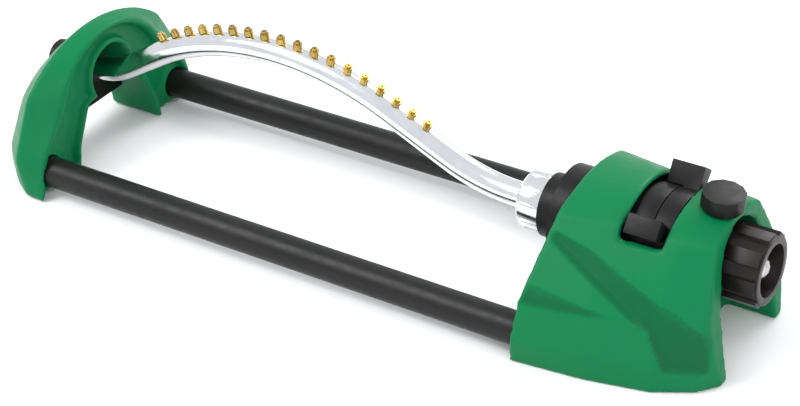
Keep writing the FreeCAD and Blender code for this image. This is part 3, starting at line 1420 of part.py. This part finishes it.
def sector(radius_inner, radius_outer, start, width, angle_from, angle_to):
    """A curved block about the arm's axis; angles are from upright towards -Y."""
    outer = Part.makeCylinder(radius_outer, width, Vector(start, 0, 0), Vector(1, 0, 0),
                              angle_to - angle_from)
    inner = Part.makeCylinder(radius_inner, width + 2, Vector(start - 1, 0, 0), Vector(1, 0, 0))
    solid = outer.cut(inner).Solids[0]
    centre = solid.CenterOfMass
    middle = math.degrees(math.atan2(centre.z, centre.y))
    solid.rotate(Vector(), Vector(1, 0, 0), 90 + (angle_from + angle_to) / 2 - middle)
    return solid


def range_tab(label, lane, angle, inner_reach, outer_reach):
    """One range tab: a saddle on the drum and a thumb piece through the roof slot."""
    inner = size("case_radius") + size("ring_gap")
    outer = inner + size("ring_thickness")
    slot_middle = size("slot_front") + size("slot_width") / 2
    lane_start = slot_middle + lane
    saddle = sector(inner, outer, lane_start, size("ring_width"), inner_reach, outer_reach)
    half = size("thumb_angle") / 2
    thumb_start = slot_middle - size("thumb_width") / 2
    thumb = sector(outer + size("loose_gap"), size("thumb_radius"), thumb_start, size("thumb_width"),
                   angle - half, angle + half)
    foot_start = max(lane_start, thumb_start)
    foot_end = min(lane_start + size("ring_width"), thumb_start + size("thumb_width"))
    foot = sector(inner + 0.2, outer + 1, foot_start, foot_end - foot_start, angle - half, angle + half)
    shape = saddle.fuse(foot).fuse(thumb).removeSplitter()
    item = doc.addObject("Part::Feature", label + "_body")
    item.Shape = shape
    item.Placement = Placement(Vector(val(X_MOTOR), 0, size("arm_height")), Rotation())
    keep(item, label)


def make_range_tabs():
    """The two tabs that set how far the arm swings to each side."""
    spread = size("saddle_angle")
    near, far = size("near_tab_angle"), size("far_tab_angle")
    edge = size("thumb_angle") / 2 + 2
    half_gap = 0.2
    range_tab("near_range_tab", -half_gap - size("ring_width"), near, near + edge - spread, near + edge)
    range_tab("far_range_tab", half_gap, far, far - edge, far - edge + spread)


# ---------------------------------------------------------------- flow knob

def make_flow_knob():
    """Black twelve-sided knob on the roof, with its spindle, valve disc and seal."""
    body = doc.addObject("Part::Prism", "knob_prism")
    bind(body, Polygon="Sizes.knob_sides", Circumradius="Sizes.knob_radius", Height="Sizes.knob_height")
    knob_axis(body, "Sizes.knob_floor")
    socket = leaning_rod("knob_socket", "Sizes.spindle_radius + Sizes.press_gap", "Sizes.knob_floor - 1",
                         "6")
    keep(cut("knob_body", body, socket), "flow_knob")
    shaft = leaning_rod("spindle_shaft", "Sizes.spindle_radius", "Sizes.pipe_bore - 1",
                        "Sizes.knob_floor + 4.8 - Sizes.pipe_bore + 1")
    gate_disc = doc.addObject("Part::Cylinder", "valve_disc")
    bind(gate_disc, Radius="Sizes.gate_radius", Height="Sizes.gate_thickness")
    gate_disc.Placement = Placement(Vector(), AXES["Y"])
    move(gate_disc, f"{X_MOTOR} + Sizes.knob_station", "-Sizes.gate_thickness / 2", Z_ARM)
    groove_outer = leaning_rod("groove_outer", "Sizes.spindle_radius + 1", "14", "1.8")
    groove_inner = leaning_rod("groove_inner", "Sizes.spindle_radius - 1", "13", "4")
    groove = cut("spindle_groove", groove_outer, groove_inner)
    keep(cut("spindle_body", fuse("spindle_solid", shaft, gate_disc), groove), "valve_spindle")
    seal = doc.addObject("Part::Torus", "spindle_o_ring_body")
    bind(seal, Radius1="Sizes.spindle_radius - 0.45", Radius2="0.45")
    knob_axis(seal, "14.9")
    keep(seal, "spindle_o_ring")


# ---------------------------------------------------------------- inlet

def make_inlet_nut():
    """Black ribbed swivel nut that screws on the hose end."""
    start, end = "Sizes.nut_start", "Sizes.motor_reach"
    room = "Sizes.nut_start + Sizes.nut_back_wall"
    outline = [
        (start, "Sizes.pipe_radius + Sizes.ring_gap"), (room, "Sizes.pipe_radius + Sizes.ring_gap"),
        (room, "Sizes.hose_thread"), (end, "Sizes.hose_thread"), (end, "Sizes.nut_radius"),
        (f"{start} + Sizes.nut_flange_length", "Sizes.nut_radius"),
        (f"{start} + Sizes.nut_flange_length", "Sizes.nut_radius + Sizes.nut_rib"),
        (start, "Sizes.nut_radius + Sizes.nut_rib"),
    ]
    core = turned("nut_turned", outline, X_MOTOR)
    ribs = []
    count = int(size("nut_ribs"))
    for i in range(count):
        angle = 360 * i / count
        rib = doc.addObject("Part::Box", f"nut_rib{i}")
        rib.Placement = Placement(Vector(), Rotation(Vector(1, 0, 0), angle))
        bind(rib, Length=f"{end} - ({start}) - 1", Width="Sizes.nut_rib_width",
             Height="Sizes.nut_rib + Sizes.nut_radius - Sizes.hose_thread - 1.5")
        lift, side = "(Sizes.hose_thread + 1.5)", "Sizes.nut_rib_width / 2"
        move(rib, f"{X_MOTOR} + {start}",
             f"-{lift} * sin({angle} deg) - {side} * cos({angle} deg)",
             f"{Z_ARM} + {lift} * cos({angle} deg) - {side} * sin({angle} deg)")
        ribs.append(rib)
    keep(fuse("nut_body", core, *ribs), "inlet_nut")


def make_inlet_washer():
    """Rubber washer against the pipe's end."""
    start = "Sizes.pipe_end + Sizes.run_gap"
    keep(ring("washer_body", "Sizes.pipe_bore", "Sizes.hose_thread - 0.2", start,
              f"{start} + Sizes.washer_thickness", X_MOTOR), "hose_washer")


def make_filter_screen():
    """Steel mesh dome that keeps grit out, on a flat rim."""
    foot = "Sizes.pipe_end + 2 * Sizes.run_gap + Sizes.washer_thickness"
    body = doc.addObject("PartDesign::Body", "filter_body")
    sketch = body_sketch(body, "filter_profile", "XZ_Plane")
    wall = "Sizes.screen_wall"
    steps = 6
    outer, inner = [], []
    for i in range(steps):
        share = math.cos(math.pi / 2 * i / steps)
        lift = math.sin(math.pi / 2 * i / steps)
        outer.append((f"{foot} + {wall} + (Sizes.screen_depth - {wall}) * {lift:.6f}",
                      f"Sizes.screen_radius * {share:.6f}"))
        inner.append((f"{foot} + (Sizes.screen_depth - {wall}) * {lift:.6f}",
                      f"(Sizes.screen_radius - {wall}) * {share:.6f}"))
    crown = [(f"{foot} + Sizes.screen_depth", "0"), (f"{foot} + Sizes.screen_depth - {wall}", "0")]
    rim = [(foot, "Sizes.screen_rim"), (f"{foot} + {wall}", "Sizes.screen_rim")]
    draw(sketch, rim + outer + crown + inner[::-1])
    turn = body.newObject("PartDesign::Revolution", "filter_turn")
    turn.Profile = sketch
    turn.ReferenceAxis = (sketch, ["H_Axis"])
    turn.Angle = 360
    move(body, X_MOTOR, "0", Z_ARM)
    keep(body, "filter_screen")


# ---------------------------------------------------------------- build

def check():
    """Stop before writing if anything failed to build."""
    for item in doc.Objects:
        if {"Invalid", "Error"} & set(item.State):
            raise RuntimeError(f"{item.Name} ({item.Label}) failed: {item.State}")
    for item in nodes:
        if item.Shape.isNull() or not item.Shape.isValid():
            raise RuntimeError(f"{item.Label} has no valid shape")


def main():
    """Build every piece and write each one to its own file."""
    make_base_tubes()
    make_tube_screws()
    make_end_housing()
    make_end_bracket()
    make_bracket_screws()
    make_tail_bush()
    make_spray_tube()
    make_nozzles()
    make_tube_collar()
    make_arm_hub()
    make_tail_sleeve()
    make_cleanout_plug()
    make_motor_housing()
    make_floor_plate()
    make_floor_screws()
    make_gear_case()
    make_case_cover()
    make_case_gasket()
    make_case_screws()
    make_inner_plates()
    make_gear_train()
    make_turbine()
    make_gear_pins()
    make_reversing_lever()
    make_range_tabs()
    make_flow_knob()
    make_inlet_nut()
    make_inlet_washer()
    make_filter_screen()
    doc.recompute()
    check()
    os.makedirs("parts", exist_ok=True)
    for item in nodes:
        item.Shape.exportStep(f"parts/{item.Label}.step")
        print(f"{item.Label}: {item.Shape.Volume:.0f} mm3, {len(item.Shape.Solids)} solids")
    print(f"{len(nodes)} pieces")


main()
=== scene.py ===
"""Oscillating lawn sprinkler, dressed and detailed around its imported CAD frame."""
import json
import logging
import math
from dataclasses import dataclass
from enum import Enum

import bpy
from mathutils import Matrix, Vector

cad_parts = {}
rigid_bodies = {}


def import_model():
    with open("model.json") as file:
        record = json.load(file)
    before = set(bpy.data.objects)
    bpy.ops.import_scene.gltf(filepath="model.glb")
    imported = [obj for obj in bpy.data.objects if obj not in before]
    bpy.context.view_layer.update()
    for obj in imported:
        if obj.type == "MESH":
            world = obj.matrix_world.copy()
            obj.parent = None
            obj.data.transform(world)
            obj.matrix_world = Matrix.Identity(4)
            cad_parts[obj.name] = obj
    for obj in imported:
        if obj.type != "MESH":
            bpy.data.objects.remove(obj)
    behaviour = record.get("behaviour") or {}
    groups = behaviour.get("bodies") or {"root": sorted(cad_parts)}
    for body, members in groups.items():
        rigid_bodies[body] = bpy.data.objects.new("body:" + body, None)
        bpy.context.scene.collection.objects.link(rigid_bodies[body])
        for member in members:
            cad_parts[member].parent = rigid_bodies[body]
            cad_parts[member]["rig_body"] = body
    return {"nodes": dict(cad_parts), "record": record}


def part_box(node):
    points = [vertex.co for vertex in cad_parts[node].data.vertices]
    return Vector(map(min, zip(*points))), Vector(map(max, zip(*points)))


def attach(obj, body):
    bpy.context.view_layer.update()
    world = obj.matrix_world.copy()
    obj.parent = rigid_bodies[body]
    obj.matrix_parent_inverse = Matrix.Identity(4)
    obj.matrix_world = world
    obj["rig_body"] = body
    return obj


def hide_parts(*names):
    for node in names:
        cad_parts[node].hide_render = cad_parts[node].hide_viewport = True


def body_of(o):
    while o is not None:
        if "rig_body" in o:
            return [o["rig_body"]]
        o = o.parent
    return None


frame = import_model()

logging.basicConfig(level=logging.INFO, format="%(message)s")
log = logging.getLogger("sprinkler")

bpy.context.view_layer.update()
MM = 0.001

Socket = bpy.types.NodeSocket
Colour = tuple[float, float, float]


# ---------------------------------------------------------------- finishes

class Nodes:
    """A material's node tree, with short calls for the nodes that the finishes share."""

    def __init__(self, name: str) -> None:
        """Start a material with a principled shader on Object coordinates."""
        self.material = bpy.data.materials.new(name)
        self.material.use_nodes = True
        self.tree = self.material.node_tree
        self.tree.nodes.clear()
        output = self.tree.nodes.new("ShaderNodeOutputMaterial")
        self.shader = self.tree.nodes.new("ShaderNodeBsdfPrincipled")
        self.link(self.shader.outputs["BSDF"], output.inputs["Surface"])
        self.place = self.tree.nodes.new("ShaderNodeTexCoord").outputs["Object"]

    def link(self, source: Socket, target: Socket) -> None:
        """Join two sockets."""
        self.tree.links.new(source, target)

    def fix(self, **values: float | Colour) -> None:
        """Set constant values on the shader; underscores stand for spaces."""
        for name, value in values.items():
            socket = self.shader.inputs[name.replace("_", " ")]
            socket.default_value = (*value, 1.0) if isinstance(value, tuple) else value

    def stretched(self, scale: tuple[float, float, float]) -> Socket:
        """Object coordinates, stretched along the axes."""
        mapping = self.tree.nodes.new("ShaderNodeMapping")
        mapping.inputs["Scale"].default_value = scale
        self.link(self.place, mapping.inputs["Vector"])
        return mapping.outputs["Vector"]

    def noise(self, scale: float, detail: float = 3.0, vector: Socket | None = None) -> Socket:
        """A noise pattern; scale is in waves per metre."""
        node = self.tree.nodes.new("ShaderNodeTexNoise")
        node.inputs["Scale"].default_value = scale
        node.inputs["Detail"].default_value = detail
        self.link(vector or self.place, node.inputs["Vector"])
        return node.outputs["Fac"]

    def spread(self, value: Socket, low: float, high: float) -> Socket:
        """Map a pattern's middle stretch to low..high."""
        start, end = 0.3, 0.7
        node = self.tree.nodes.new("ShaderNodeMapRange")
        node.inputs["From Min"].default_value = start
        node.inputs["From Max"].default_value = end
        node.inputs["To Min"].default_value = low
        node.inputs["To Max"].default_value = high
        self.link(value, node.inputs["Value"])
        return node.outputs["Result"]

    def blend(self, factor: Socket, first: Colour, second: Colour) -> Socket:
        """A colour between two, by a factor."""
        node = self.tree.nodes.new("ShaderNodeMix")
        node.data_type = "RGBA"
        colours = [s for s in node.inputs if s.type == "RGBA"]
        colours[0].default_value = (*first, 1.0)
        colours[1].default_value = (*second, 1.0)
        self.link(factor, node.inputs["Factor"])
        return [s for s in node.outputs if s.type == "RGBA"][0]

    def facet_shade_mask(self) -> Socket:
        """How much painted shade a vertex takes, from 0 to 1, by how deep it sits in a facet."""
        node = self.tree.nodes.new("ShaderNodeAttribute")
        node.attribute_name = "facet_shade_mask"
        return node.outputs["Fac"]

    def darken(self, colour: Socket, factor: Socket, tone: Colour) -> Socket:
        """Blend a colour towards a darker tone by a factor."""
        node = self.tree.nodes.new("ShaderNodeMix")
        node.data_type = "RGBA"
        first, second = [s for s in node.inputs if s.type == "RGBA"]
        second.default_value = (*tone, 1.0)
        self.link(colour, first)
        self.link(factor, node.inputs["Factor"])
        return [s for s in node.outputs if s.type == "RGBA"][0]

    def bump(self, height: Socket, depth: float) -> None:
        """Raise the surface by a pattern; depth is in metres."""
        node = self.tree.nodes.new("ShaderNodeBump")
        node.inputs["Strength"].default_value = 1.0
        node.inputs["Distance"].default_value = depth
        self.link(height, node.inputs["Height"])
        self.link(node.outputs["Normal"], self.shader.inputs["Normal"])


@dataclass(frozen=True)
class MouldedPlastic:
    """Injection-moulded plastic: fine grain, slight colour drift and polish marks, and, where a facet
    shade tone is given, painted shade in the sunken facets.
    """

    name: str
    colour: Colour
    shade: Colour
    roughness: float
    grain: float = 0.00002
    grain_scale: float = 2600.0
    specular: float = 0.5
    # Painted shade: a darker tone laid into the sunken facets, on top of the shading that their shape
    # gets from the lamps.
    facet_shade_tone: Colour | None = None

    def make(self) -> bpy.types.Material:
        """Build the material."""
        nodes = Nodes(self.name)
        drift = nodes.noise(28.0, 4.0)
        colour = nodes.blend(nodes.spread(drift, 0.0, 1.0), self.shade, self.colour)
        # Painted shade: blend towards the darker tone where the facets sink in.
        if self.facet_shade_tone:
            colour = nodes.darken(colour, nodes.facet_shade_mask(), self.facet_shade_tone)
        nodes.link(colour, nodes.shader.inputs["Base Color"])
        wear = nodes.noise(180.0, 6.0)
        nodes.link(nodes.spread(wear, self.roughness - 0.06, self.roughness + 0.08),
                   nodes.shader.inputs["Roughness"])
        nodes.fix(Specular_IOR_Level=self.specular)
        nodes.bump(nodes.noise(self.grain_scale, 2.0), self.grain)
        return nodes.material


@dataclass(frozen=True)
class PlatedMetal:
    """Metal with a faint draw grain along X and small smudges."""

    name: str
    colour: Colour
    shade: Colour
    roughness: float
    grain: float = 0.000004
    along: tuple[float, float, float] = (40.0, 900.0, 900.0)

    def make(self) -> bpy.types.Material:
        """Build the material."""
        nodes = Nodes(self.name)
        smudge = nodes.noise(70.0, 5.0)
        nodes.link(nodes.blend(nodes.spread(smudge, 0.0, 1.0), self.shade, self.colour),
                   nodes.shader.inputs["Base Color"])
        nodes.link(nodes.spread(nodes.noise(240.0, 4.0), self.roughness * 0.6, self.roughness * 1.5),
                   nodes.shader.inputs["Roughness"])
        nodes.fix(Metallic=1.0)
        nodes.bump(nodes.noise(1.0, 3.0, nodes.stretched(self.along)), self.grain)
        return nodes.material


class Finish(Enum):
    """The finishes on the sprinkler."""

    # The green's facet shade tone is painted shade for the sunken facets; the other colours are the
    # plastic's own.
    GREEN = MouldedPlastic("green_shell", (0.0006, 0.162, 0.054), (0.0006, 0.150, 0.051), 0.42,
                           grain=0.000002, specular=0.14, facet_shade_tone=(0.0006, 0.100, 0.033))
    BLACK = MouldedPlastic("black_plastic", (0.007, 0.0065, 0.006), (0.004, 0.004, 0.004), 0.40,
                           specular=0.22)
    NUT = MouldedPlastic("nut_plastic", (0.013, 0.0065, 0.006), (0.006, 0.004, 0.004), 0.36,
                         specular=0.28)
    TUBE = MouldedPlastic("base_tube", (0.010, 0.010, 0.009), (0.007, 0.007, 0.0065), 0.40,
                          grain=0.000008, specular=0.25)
    RUBBER = MouldedPlastic("rubber", (0.02, 0.02, 0.02), (0.012, 0.012, 0.012), 0.7)
    WHITE = MouldedPlastic("white_plastic", (0.75, 0.74, 0.70), (0.68, 0.66, 0.60), 0.35)
    CHROME = PlatedMetal("chrome", (0.78, 0.79, 0.80), (0.66, 0.67, 0.68), 0.12)
    BRASS = PlatedMetal("brass", (0.55, 0.40, 0.12), (0.36, 0.24, 0.07), 0.26)
    STEEL = PlatedMetal("steel", (0.55, 0.55, 0.55), (0.42, 0.42, 0.42), 0.28)


MATERIALS: dict[Finish, bpy.types.Material] = {}


def dress(piece: bpy.types.Object, finish: Finish) -> None:
    """Give a piece its finish.

    Args:
        piece: the object to dress, new or from the frame.
        finish: which finish it takes.
    """
    if finish not in MATERIALS:
        MATERIALS[finish] = finish.value.make()
    if not piece.material_slots:
        piece.data.materials.append(MATERIALS[finish])
    for slot in piece.material_slots:
        slot.material = MATERIALS[finish]


SLOT_FINISH = {
    "green_shell": Finish.GREEN,
    "black_plastic": Finish.BLACK,
    "nut_plastic": Finish.NUT,
    "base_tube": Finish.TUBE,
    "chrome": Finish.CHROME,
    "brass": Finish.BRASS,
    "rubber": Finish.RUBBER,
    "steel": Finish.STEEL,
    "white_plastic": Finish.WHITE,
}


def dress_frame() -> None:
    """Give every CAD node the finish of its material slot."""
    for entry in frame["record"]["subparts"]:
        dress(frame["nodes"][entry["node"]], SLOT_FINISH[entry["material_slot"]])


# ---------------------------------------------------------------- modelling

Point = tuple[float, float]

X_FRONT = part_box("motor_housing")[0][0]
RELAX = 0.5
MERGE = 0.00001
FLAT = math.radians(1)


def select_only(piece: bpy.types.Object) -> None:
    """Make one piece the only selected and active one."""
    bpy.ops.object.select_all(action="DESELECT")
    piece.select_set(True)
    bpy.context.view_layer.objects.active = piece


def apply(piece: bpy.types.Object, kind: str, **settings: float | int | str | bool) -> None:
    """Add a modifier to a piece and apply it.

    Args:
        piece: the piece to change.
        kind: the modifier's type.
        settings: its values.
    """
    select_only(piece)
    modifier = piece.modifiers.new(kind.lower(), kind)
    for key, value in settings.items():
        setattr(modifier, key, value)
    bpy.ops.object.modifier_apply(modifier=modifier.name)


def copied(node: str, name: str) -> bpy.types.Object:
    """Copy a CAD node's mesh into a new piece with its loose triangles merged.

    Args:
        node: the CAD node.
        name: the new piece's name.

    Returns:
        The new piece, at the origin.
    """
    source = frame["nodes"][node]
    mesh = source.data.copy()
    mesh.transform(source.matrix_world)
    piece = bpy.data.objects.new(name, mesh)
    bpy.context.scene.collection.objects.link(piece)
    select_only(piece)
    bpy.ops.object.mode_set(mode="EDIT")
    bpy.ops.mesh.select_all(action="SELECT")
    bpy.ops.mesh.remove_doubles(threshold=MERGE)
    bpy.ops.mesh.tris_convert_to_quads(face_threshold=FLAT, shape_threshold=FLAT)
    bpy.ops.object.mode_set(mode="OBJECT")
    piece.data.materials.clear()
    return piece


def rounded(piece: bpy.types.Object, voxel: float, rounds: int) -> None:
    """Rebuild a piece as an even mesh and soften its creases.

    Args:
        piece: the piece to change.
        voxel: the even mesh's spacing.
        rounds: how many times its vertices relax.
    """
    part_of_a_voxel = 0.37
    off_grid = Matrix.Translation((part_of_a_voxel * voxel,) * 3)
    piece.data.transform(off_grid)
    apply(piece, "REMESH", mode="VOXEL", voxel_size=voxel)
    piece.data.transform(off_grid.inverted())
    apply(piece, "SMOOTH", factor=RELAX, iterations=rounds)


def stand_in(piece: bpy.types.Object, node: str, finish: Finish, angle: float = 40.0) -> None:
    """Let a finished piece take a CAD node's place.

    Args:
        piece: the finished piece.
        node: the CAD node it replaces; it rides with the same body.
        finish: its finish.
        angle: edges sharper than this, in degrees, stay sharp.
    """
    select_only(piece)
    bpy.ops.object.shade_smooth_by_angle(angle=math.radians(angle))
    dress(piece, finish)
    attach(piece, body_of(frame["nodes"][node])[0])
    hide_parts(node)
    log.info("%s: %d faces, for %s", piece.name, len(piece.data.polygons), node)


def between(value: float, low: float, high: float) -> float:
    """Share of the way from low to high, kept within 0..1."""
    return min(1.0, max(0.0, (value - low) / (high - low)))


def line_height(line: tuple[Point, ...], along: float) -> float:
    """Height of a polyline at a distance along it."""
    for (x0, z0), (x1, z1) in zip(line, line[1:]):
        if along <= x1:
            return z0 + (z1 - z0) * between(along, x0, x1)
    return line[-1][1]


# ---------------------------------------------------------------- housings

@dataclass(frozen=True)
class Facet:
    """A shallow facet sunk into a housing's side, between two lines.

    The lines run along the side as (distance from the front, height), in millimetres.
    """

    upper: tuple[Point, ...]
    lower: tuple[Point, ...]
    depth: float
    top_share: float = 0.2
    foot_ramp: float = 2.4
    end_ramp: float = 4.0

    def press(self, along: float, height: float) -> float:
        """How far the side is pushed in at a point.

        Args:
            along: distance behind the housing's front, in millimetres.
            height: height above the floor, in millimetres.

        Returns:
            The depth in millimetres, 0 outside the facet.
        """
        start, end = self.upper[0][0], self.upper[-1][0]
        if not start < along < end:
            return 0.0
        top = line_height(self.upper, along)
        bottom = line_height(self.lower, along)
        if not bottom < height < top:
            return 0.0
        width = top - bottom
        fall = between(top - height, -self.top_share * width, width)
        foot = between(height, bottom, bottom + self.foot_ramp)
        opening = between(along, start, start + self.end_ramp)
        closing = between(end - along, 0.0, self.end_ramp)
        return self.depth * fall * foot * opening * closing


@dataclass
class MotorHousing:
    """The big green shell: crisp facets on both sides and softened edges."""

    voxel: float = 0.001
    soften: int = 5
    settle: int = 2
    roof_half_width: float = 0.022
    full_shade_depth: float = 0.8
    smooth_angle: float = 60.0
    band: Facet = Facet(
        upper=((8.0, 60.0), (30.0, 55.0), (73.0, 39.0), (88.5, 28.0)),
        lower=((8.0, 56.0), (46.0, 39.0), (63.0, 30.0), (71.0, 11.0), (88.5, 9.5)),
        depth=2.6,
    )
    wedge: Facet = Facet(
        upper=((4.0, 41.0), (47.5, 35.0)),
        lower=((4.0, 32.0), (36.0, 33.0), (47.5, 34.5)),
        depth=1.8,
    )

    def press(self, piece: bpy.types.Object) -> None:
        """Press the facets into both sides and store each vertex's share of the painted facet shade,
        full at the full shade depth.
        """
        facet_shade_mask = piece.data.attributes.new("facet_shade_mask", "FLOAT", "POINT")
        for vertex, mark in zip(piece.data.vertices, facet_shade_mask.data):
            x, y, z = vertex.co
            along, height = (x - X_FRONT) / MM, z / MM
            if abs(y) < self.roof_half_width:
                continue
            depth = self.band.press(along, height) + self.wedge.press(along, height)
            vertex.co.y = y - math.copysign(depth * MM, y)
            # Painted shade mask: the darker green goes where the side sinks in.
            mark.value = between(depth, 0.0, self.full_shade_depth)

    def build(self) -> None:
        """Make the shell."""
        piece = copied("motor_housing", "motor_shell")
        rounded(piece, self.voxel, self.soften)
        self.press(piece)
        apply(piece, "SMOOTH", factor=RELAX, iterations=self.settle)
        stand_in(piece, "motor_housing", Finish.GREEN, self.smooth_angle)


@dataclass
class EndHousing:
    """The domed green hood over the arm's tail, rounded all over."""

    voxel: float = 0.001
    soften: int = 40
    smooth_angle: float = 75.0

    def build(self) -> None:
        """Make the hood."""
        piece = copied("end_housing", "end_hood")
        rounded(piece, self.voxel, self.soften)
        stand_in(piece, "end_housing", Finish.GREEN, self.smooth_angle)


@dataclass
class SoftEdged:
    """A CAD node with its edges rounded off."""

    node: str
    name: str
    finish: Finish
    width: float
    segments: int = 3
    angle: float = 30.0

    def build(self) -> None:
        """Copy the node and bevel its sharp edges."""
        piece = copied(self.node, self.name)
        apply(piece, "BEVEL", width=self.width, segments=self.segments, limit_method="ANGLE",
              angle_limit=math.radians(self.angle), use_clamp_overlap=True)
        stand_in(piece, self.node, self.finish)


SOFT_EDGED = (
    SoftEdged("flow_knob", "knob", Finish.BLACK, 0.0006),
    SoftEdged("near_range_tab", "near_tab", Finish.BLACK, 0.0007),
    SoftEdged("far_range_tab", "far_tab", Finish.BLACK, 0.0007),
    SoftEdged("inlet_nut", "nut", Finish.NUT, 0.0005, 2),
    SoftEdged("tube_collar", "collar", Finish.CHROME, 0.0004, 2),
)


# ---------------------------------------------------------------- studio

@dataclass(frozen=True)
class Lamp:
    """A soft square light that faces the sprinkler; metres and watts."""

    name: str
    place: tuple[float, float, float]
    size: float
    power: float

    def add(self, aim_height: float) -> None:
        """Put the light in the scene, aimed at a height over the origin."""
        data = bpy.data.lights.new(self.name, "AREA")
        data.size = self.size
        data.energy = self.power
        lamp = bpy.data.objects.new(self.name, data)
        bpy.context.scene.collection.objects.link(lamp)
        lamp.location = self.place
        away = Vector(self.place) - Vector((0, 0, aim_height))
        lamp.rotation_euler = away.to_track_quat("Z", "Y").to_euler()


@dataclass
class Studio:
    """Floor, soft lights and the camera."""

    azimuth: float = 34.196
    elevation: float = 33.042
    roll: float = -2.821
    target: tuple[float, float, float] = (-0.007626, 0.0249, 0.0)
    distance: float = 1.06776
    lens: float = 94.5
    sensor: float = 36.0
    floor_size: float = 6.0
    aim_height: float = 0.03
    sky: float = 1.0
    lamps: tuple[Lamp, ...] = (
        Lamp("key", (-0.9, -0.9, 1.5), 1.0, 24.0),
        Lamp("fill", (1.4, -0.8, 1.0), 1.2, 10.0),
        Lamp("back", (0.2, 1.4, 1.2), 1.0, 16.0),
    )

    def camera(self) -> None:
        """Place the camera on a sphere round its target."""
        a, e, r = (math.radians(v) for v in (self.azimuth, self.elevation, self.roll))
        back = Vector((math.sin(a) * math.cos(e), -math.cos(a) * math.cos(e), math.sin(e)))
        right = Vector((math.cos(a), math.sin(a), 0.0))
        up = back.cross(right)
        across = math.cos(r) * right + math.sin(r) * up
        upward = -math.sin(r) * right + math.cos(r) * up
        data = bpy.data.cameras.new("view")
        data.lens = self.lens
        data.sensor_width = self.sensor
        data.clip_start = 0.01
        eye = bpy.data.objects.new("view", data)
        bpy.context.scene.collection.objects.link(eye)
        turn = Matrix((across, upward, back)).transposed()
        eye.matrix_world = Matrix.Translation(Vector(self.target) + back * self.distance) @ turn.to_4x4()
        bpy.context.scene.camera = eye

    def floor(self) -> None:
        """Lay the pale floor."""
        bpy.ops.mesh.primitive_plane_add(size=self.floor_size, location=(0, 0, 0))
        floor = bpy.context.object
        floor.name = "floor"
        nodes = Nodes("floor")
        nodes.link(nodes.blend(nodes.noise(3.0), (0.86, 0.86, 0.86), (0.90, 0.90, 0.90)),
                   nodes.shader.inputs["Base Color"])
        nodes.fix(Roughness=0.9)
        floor.data.materials.append(nodes.material)

    def build(self) -> None:
        """Set the whole studio."""
        world = bpy.data.worlds.new("studio")
        world.use_nodes = True
        background = world.node_tree.nodes["Background"]
        background.inputs["Color"].default_value = (0.95, 0.97, 1.0, 1.0)
        background.inputs["Strength"].default_value = self.sky
        bpy.context.scene.world = world
        bpy.context.scene.view_settings.view_transform = "Standard"
        self.floor()
        for lamp in self.lamps:
            lamp.add(self.aim_height)
        self.camera()
        log.info("studio: camera, floor, lights")


def main() -> None:
    """Build everything in order."""
    bpy.ops.object.select_all(action="DESELECT")
    dress_frame()
    MotorHousing().build()
    EndHousing().build()
    for part in SOFT_EDGED:
        part.build()
    Studio().build()


if __name__ == "__main__":
    main()
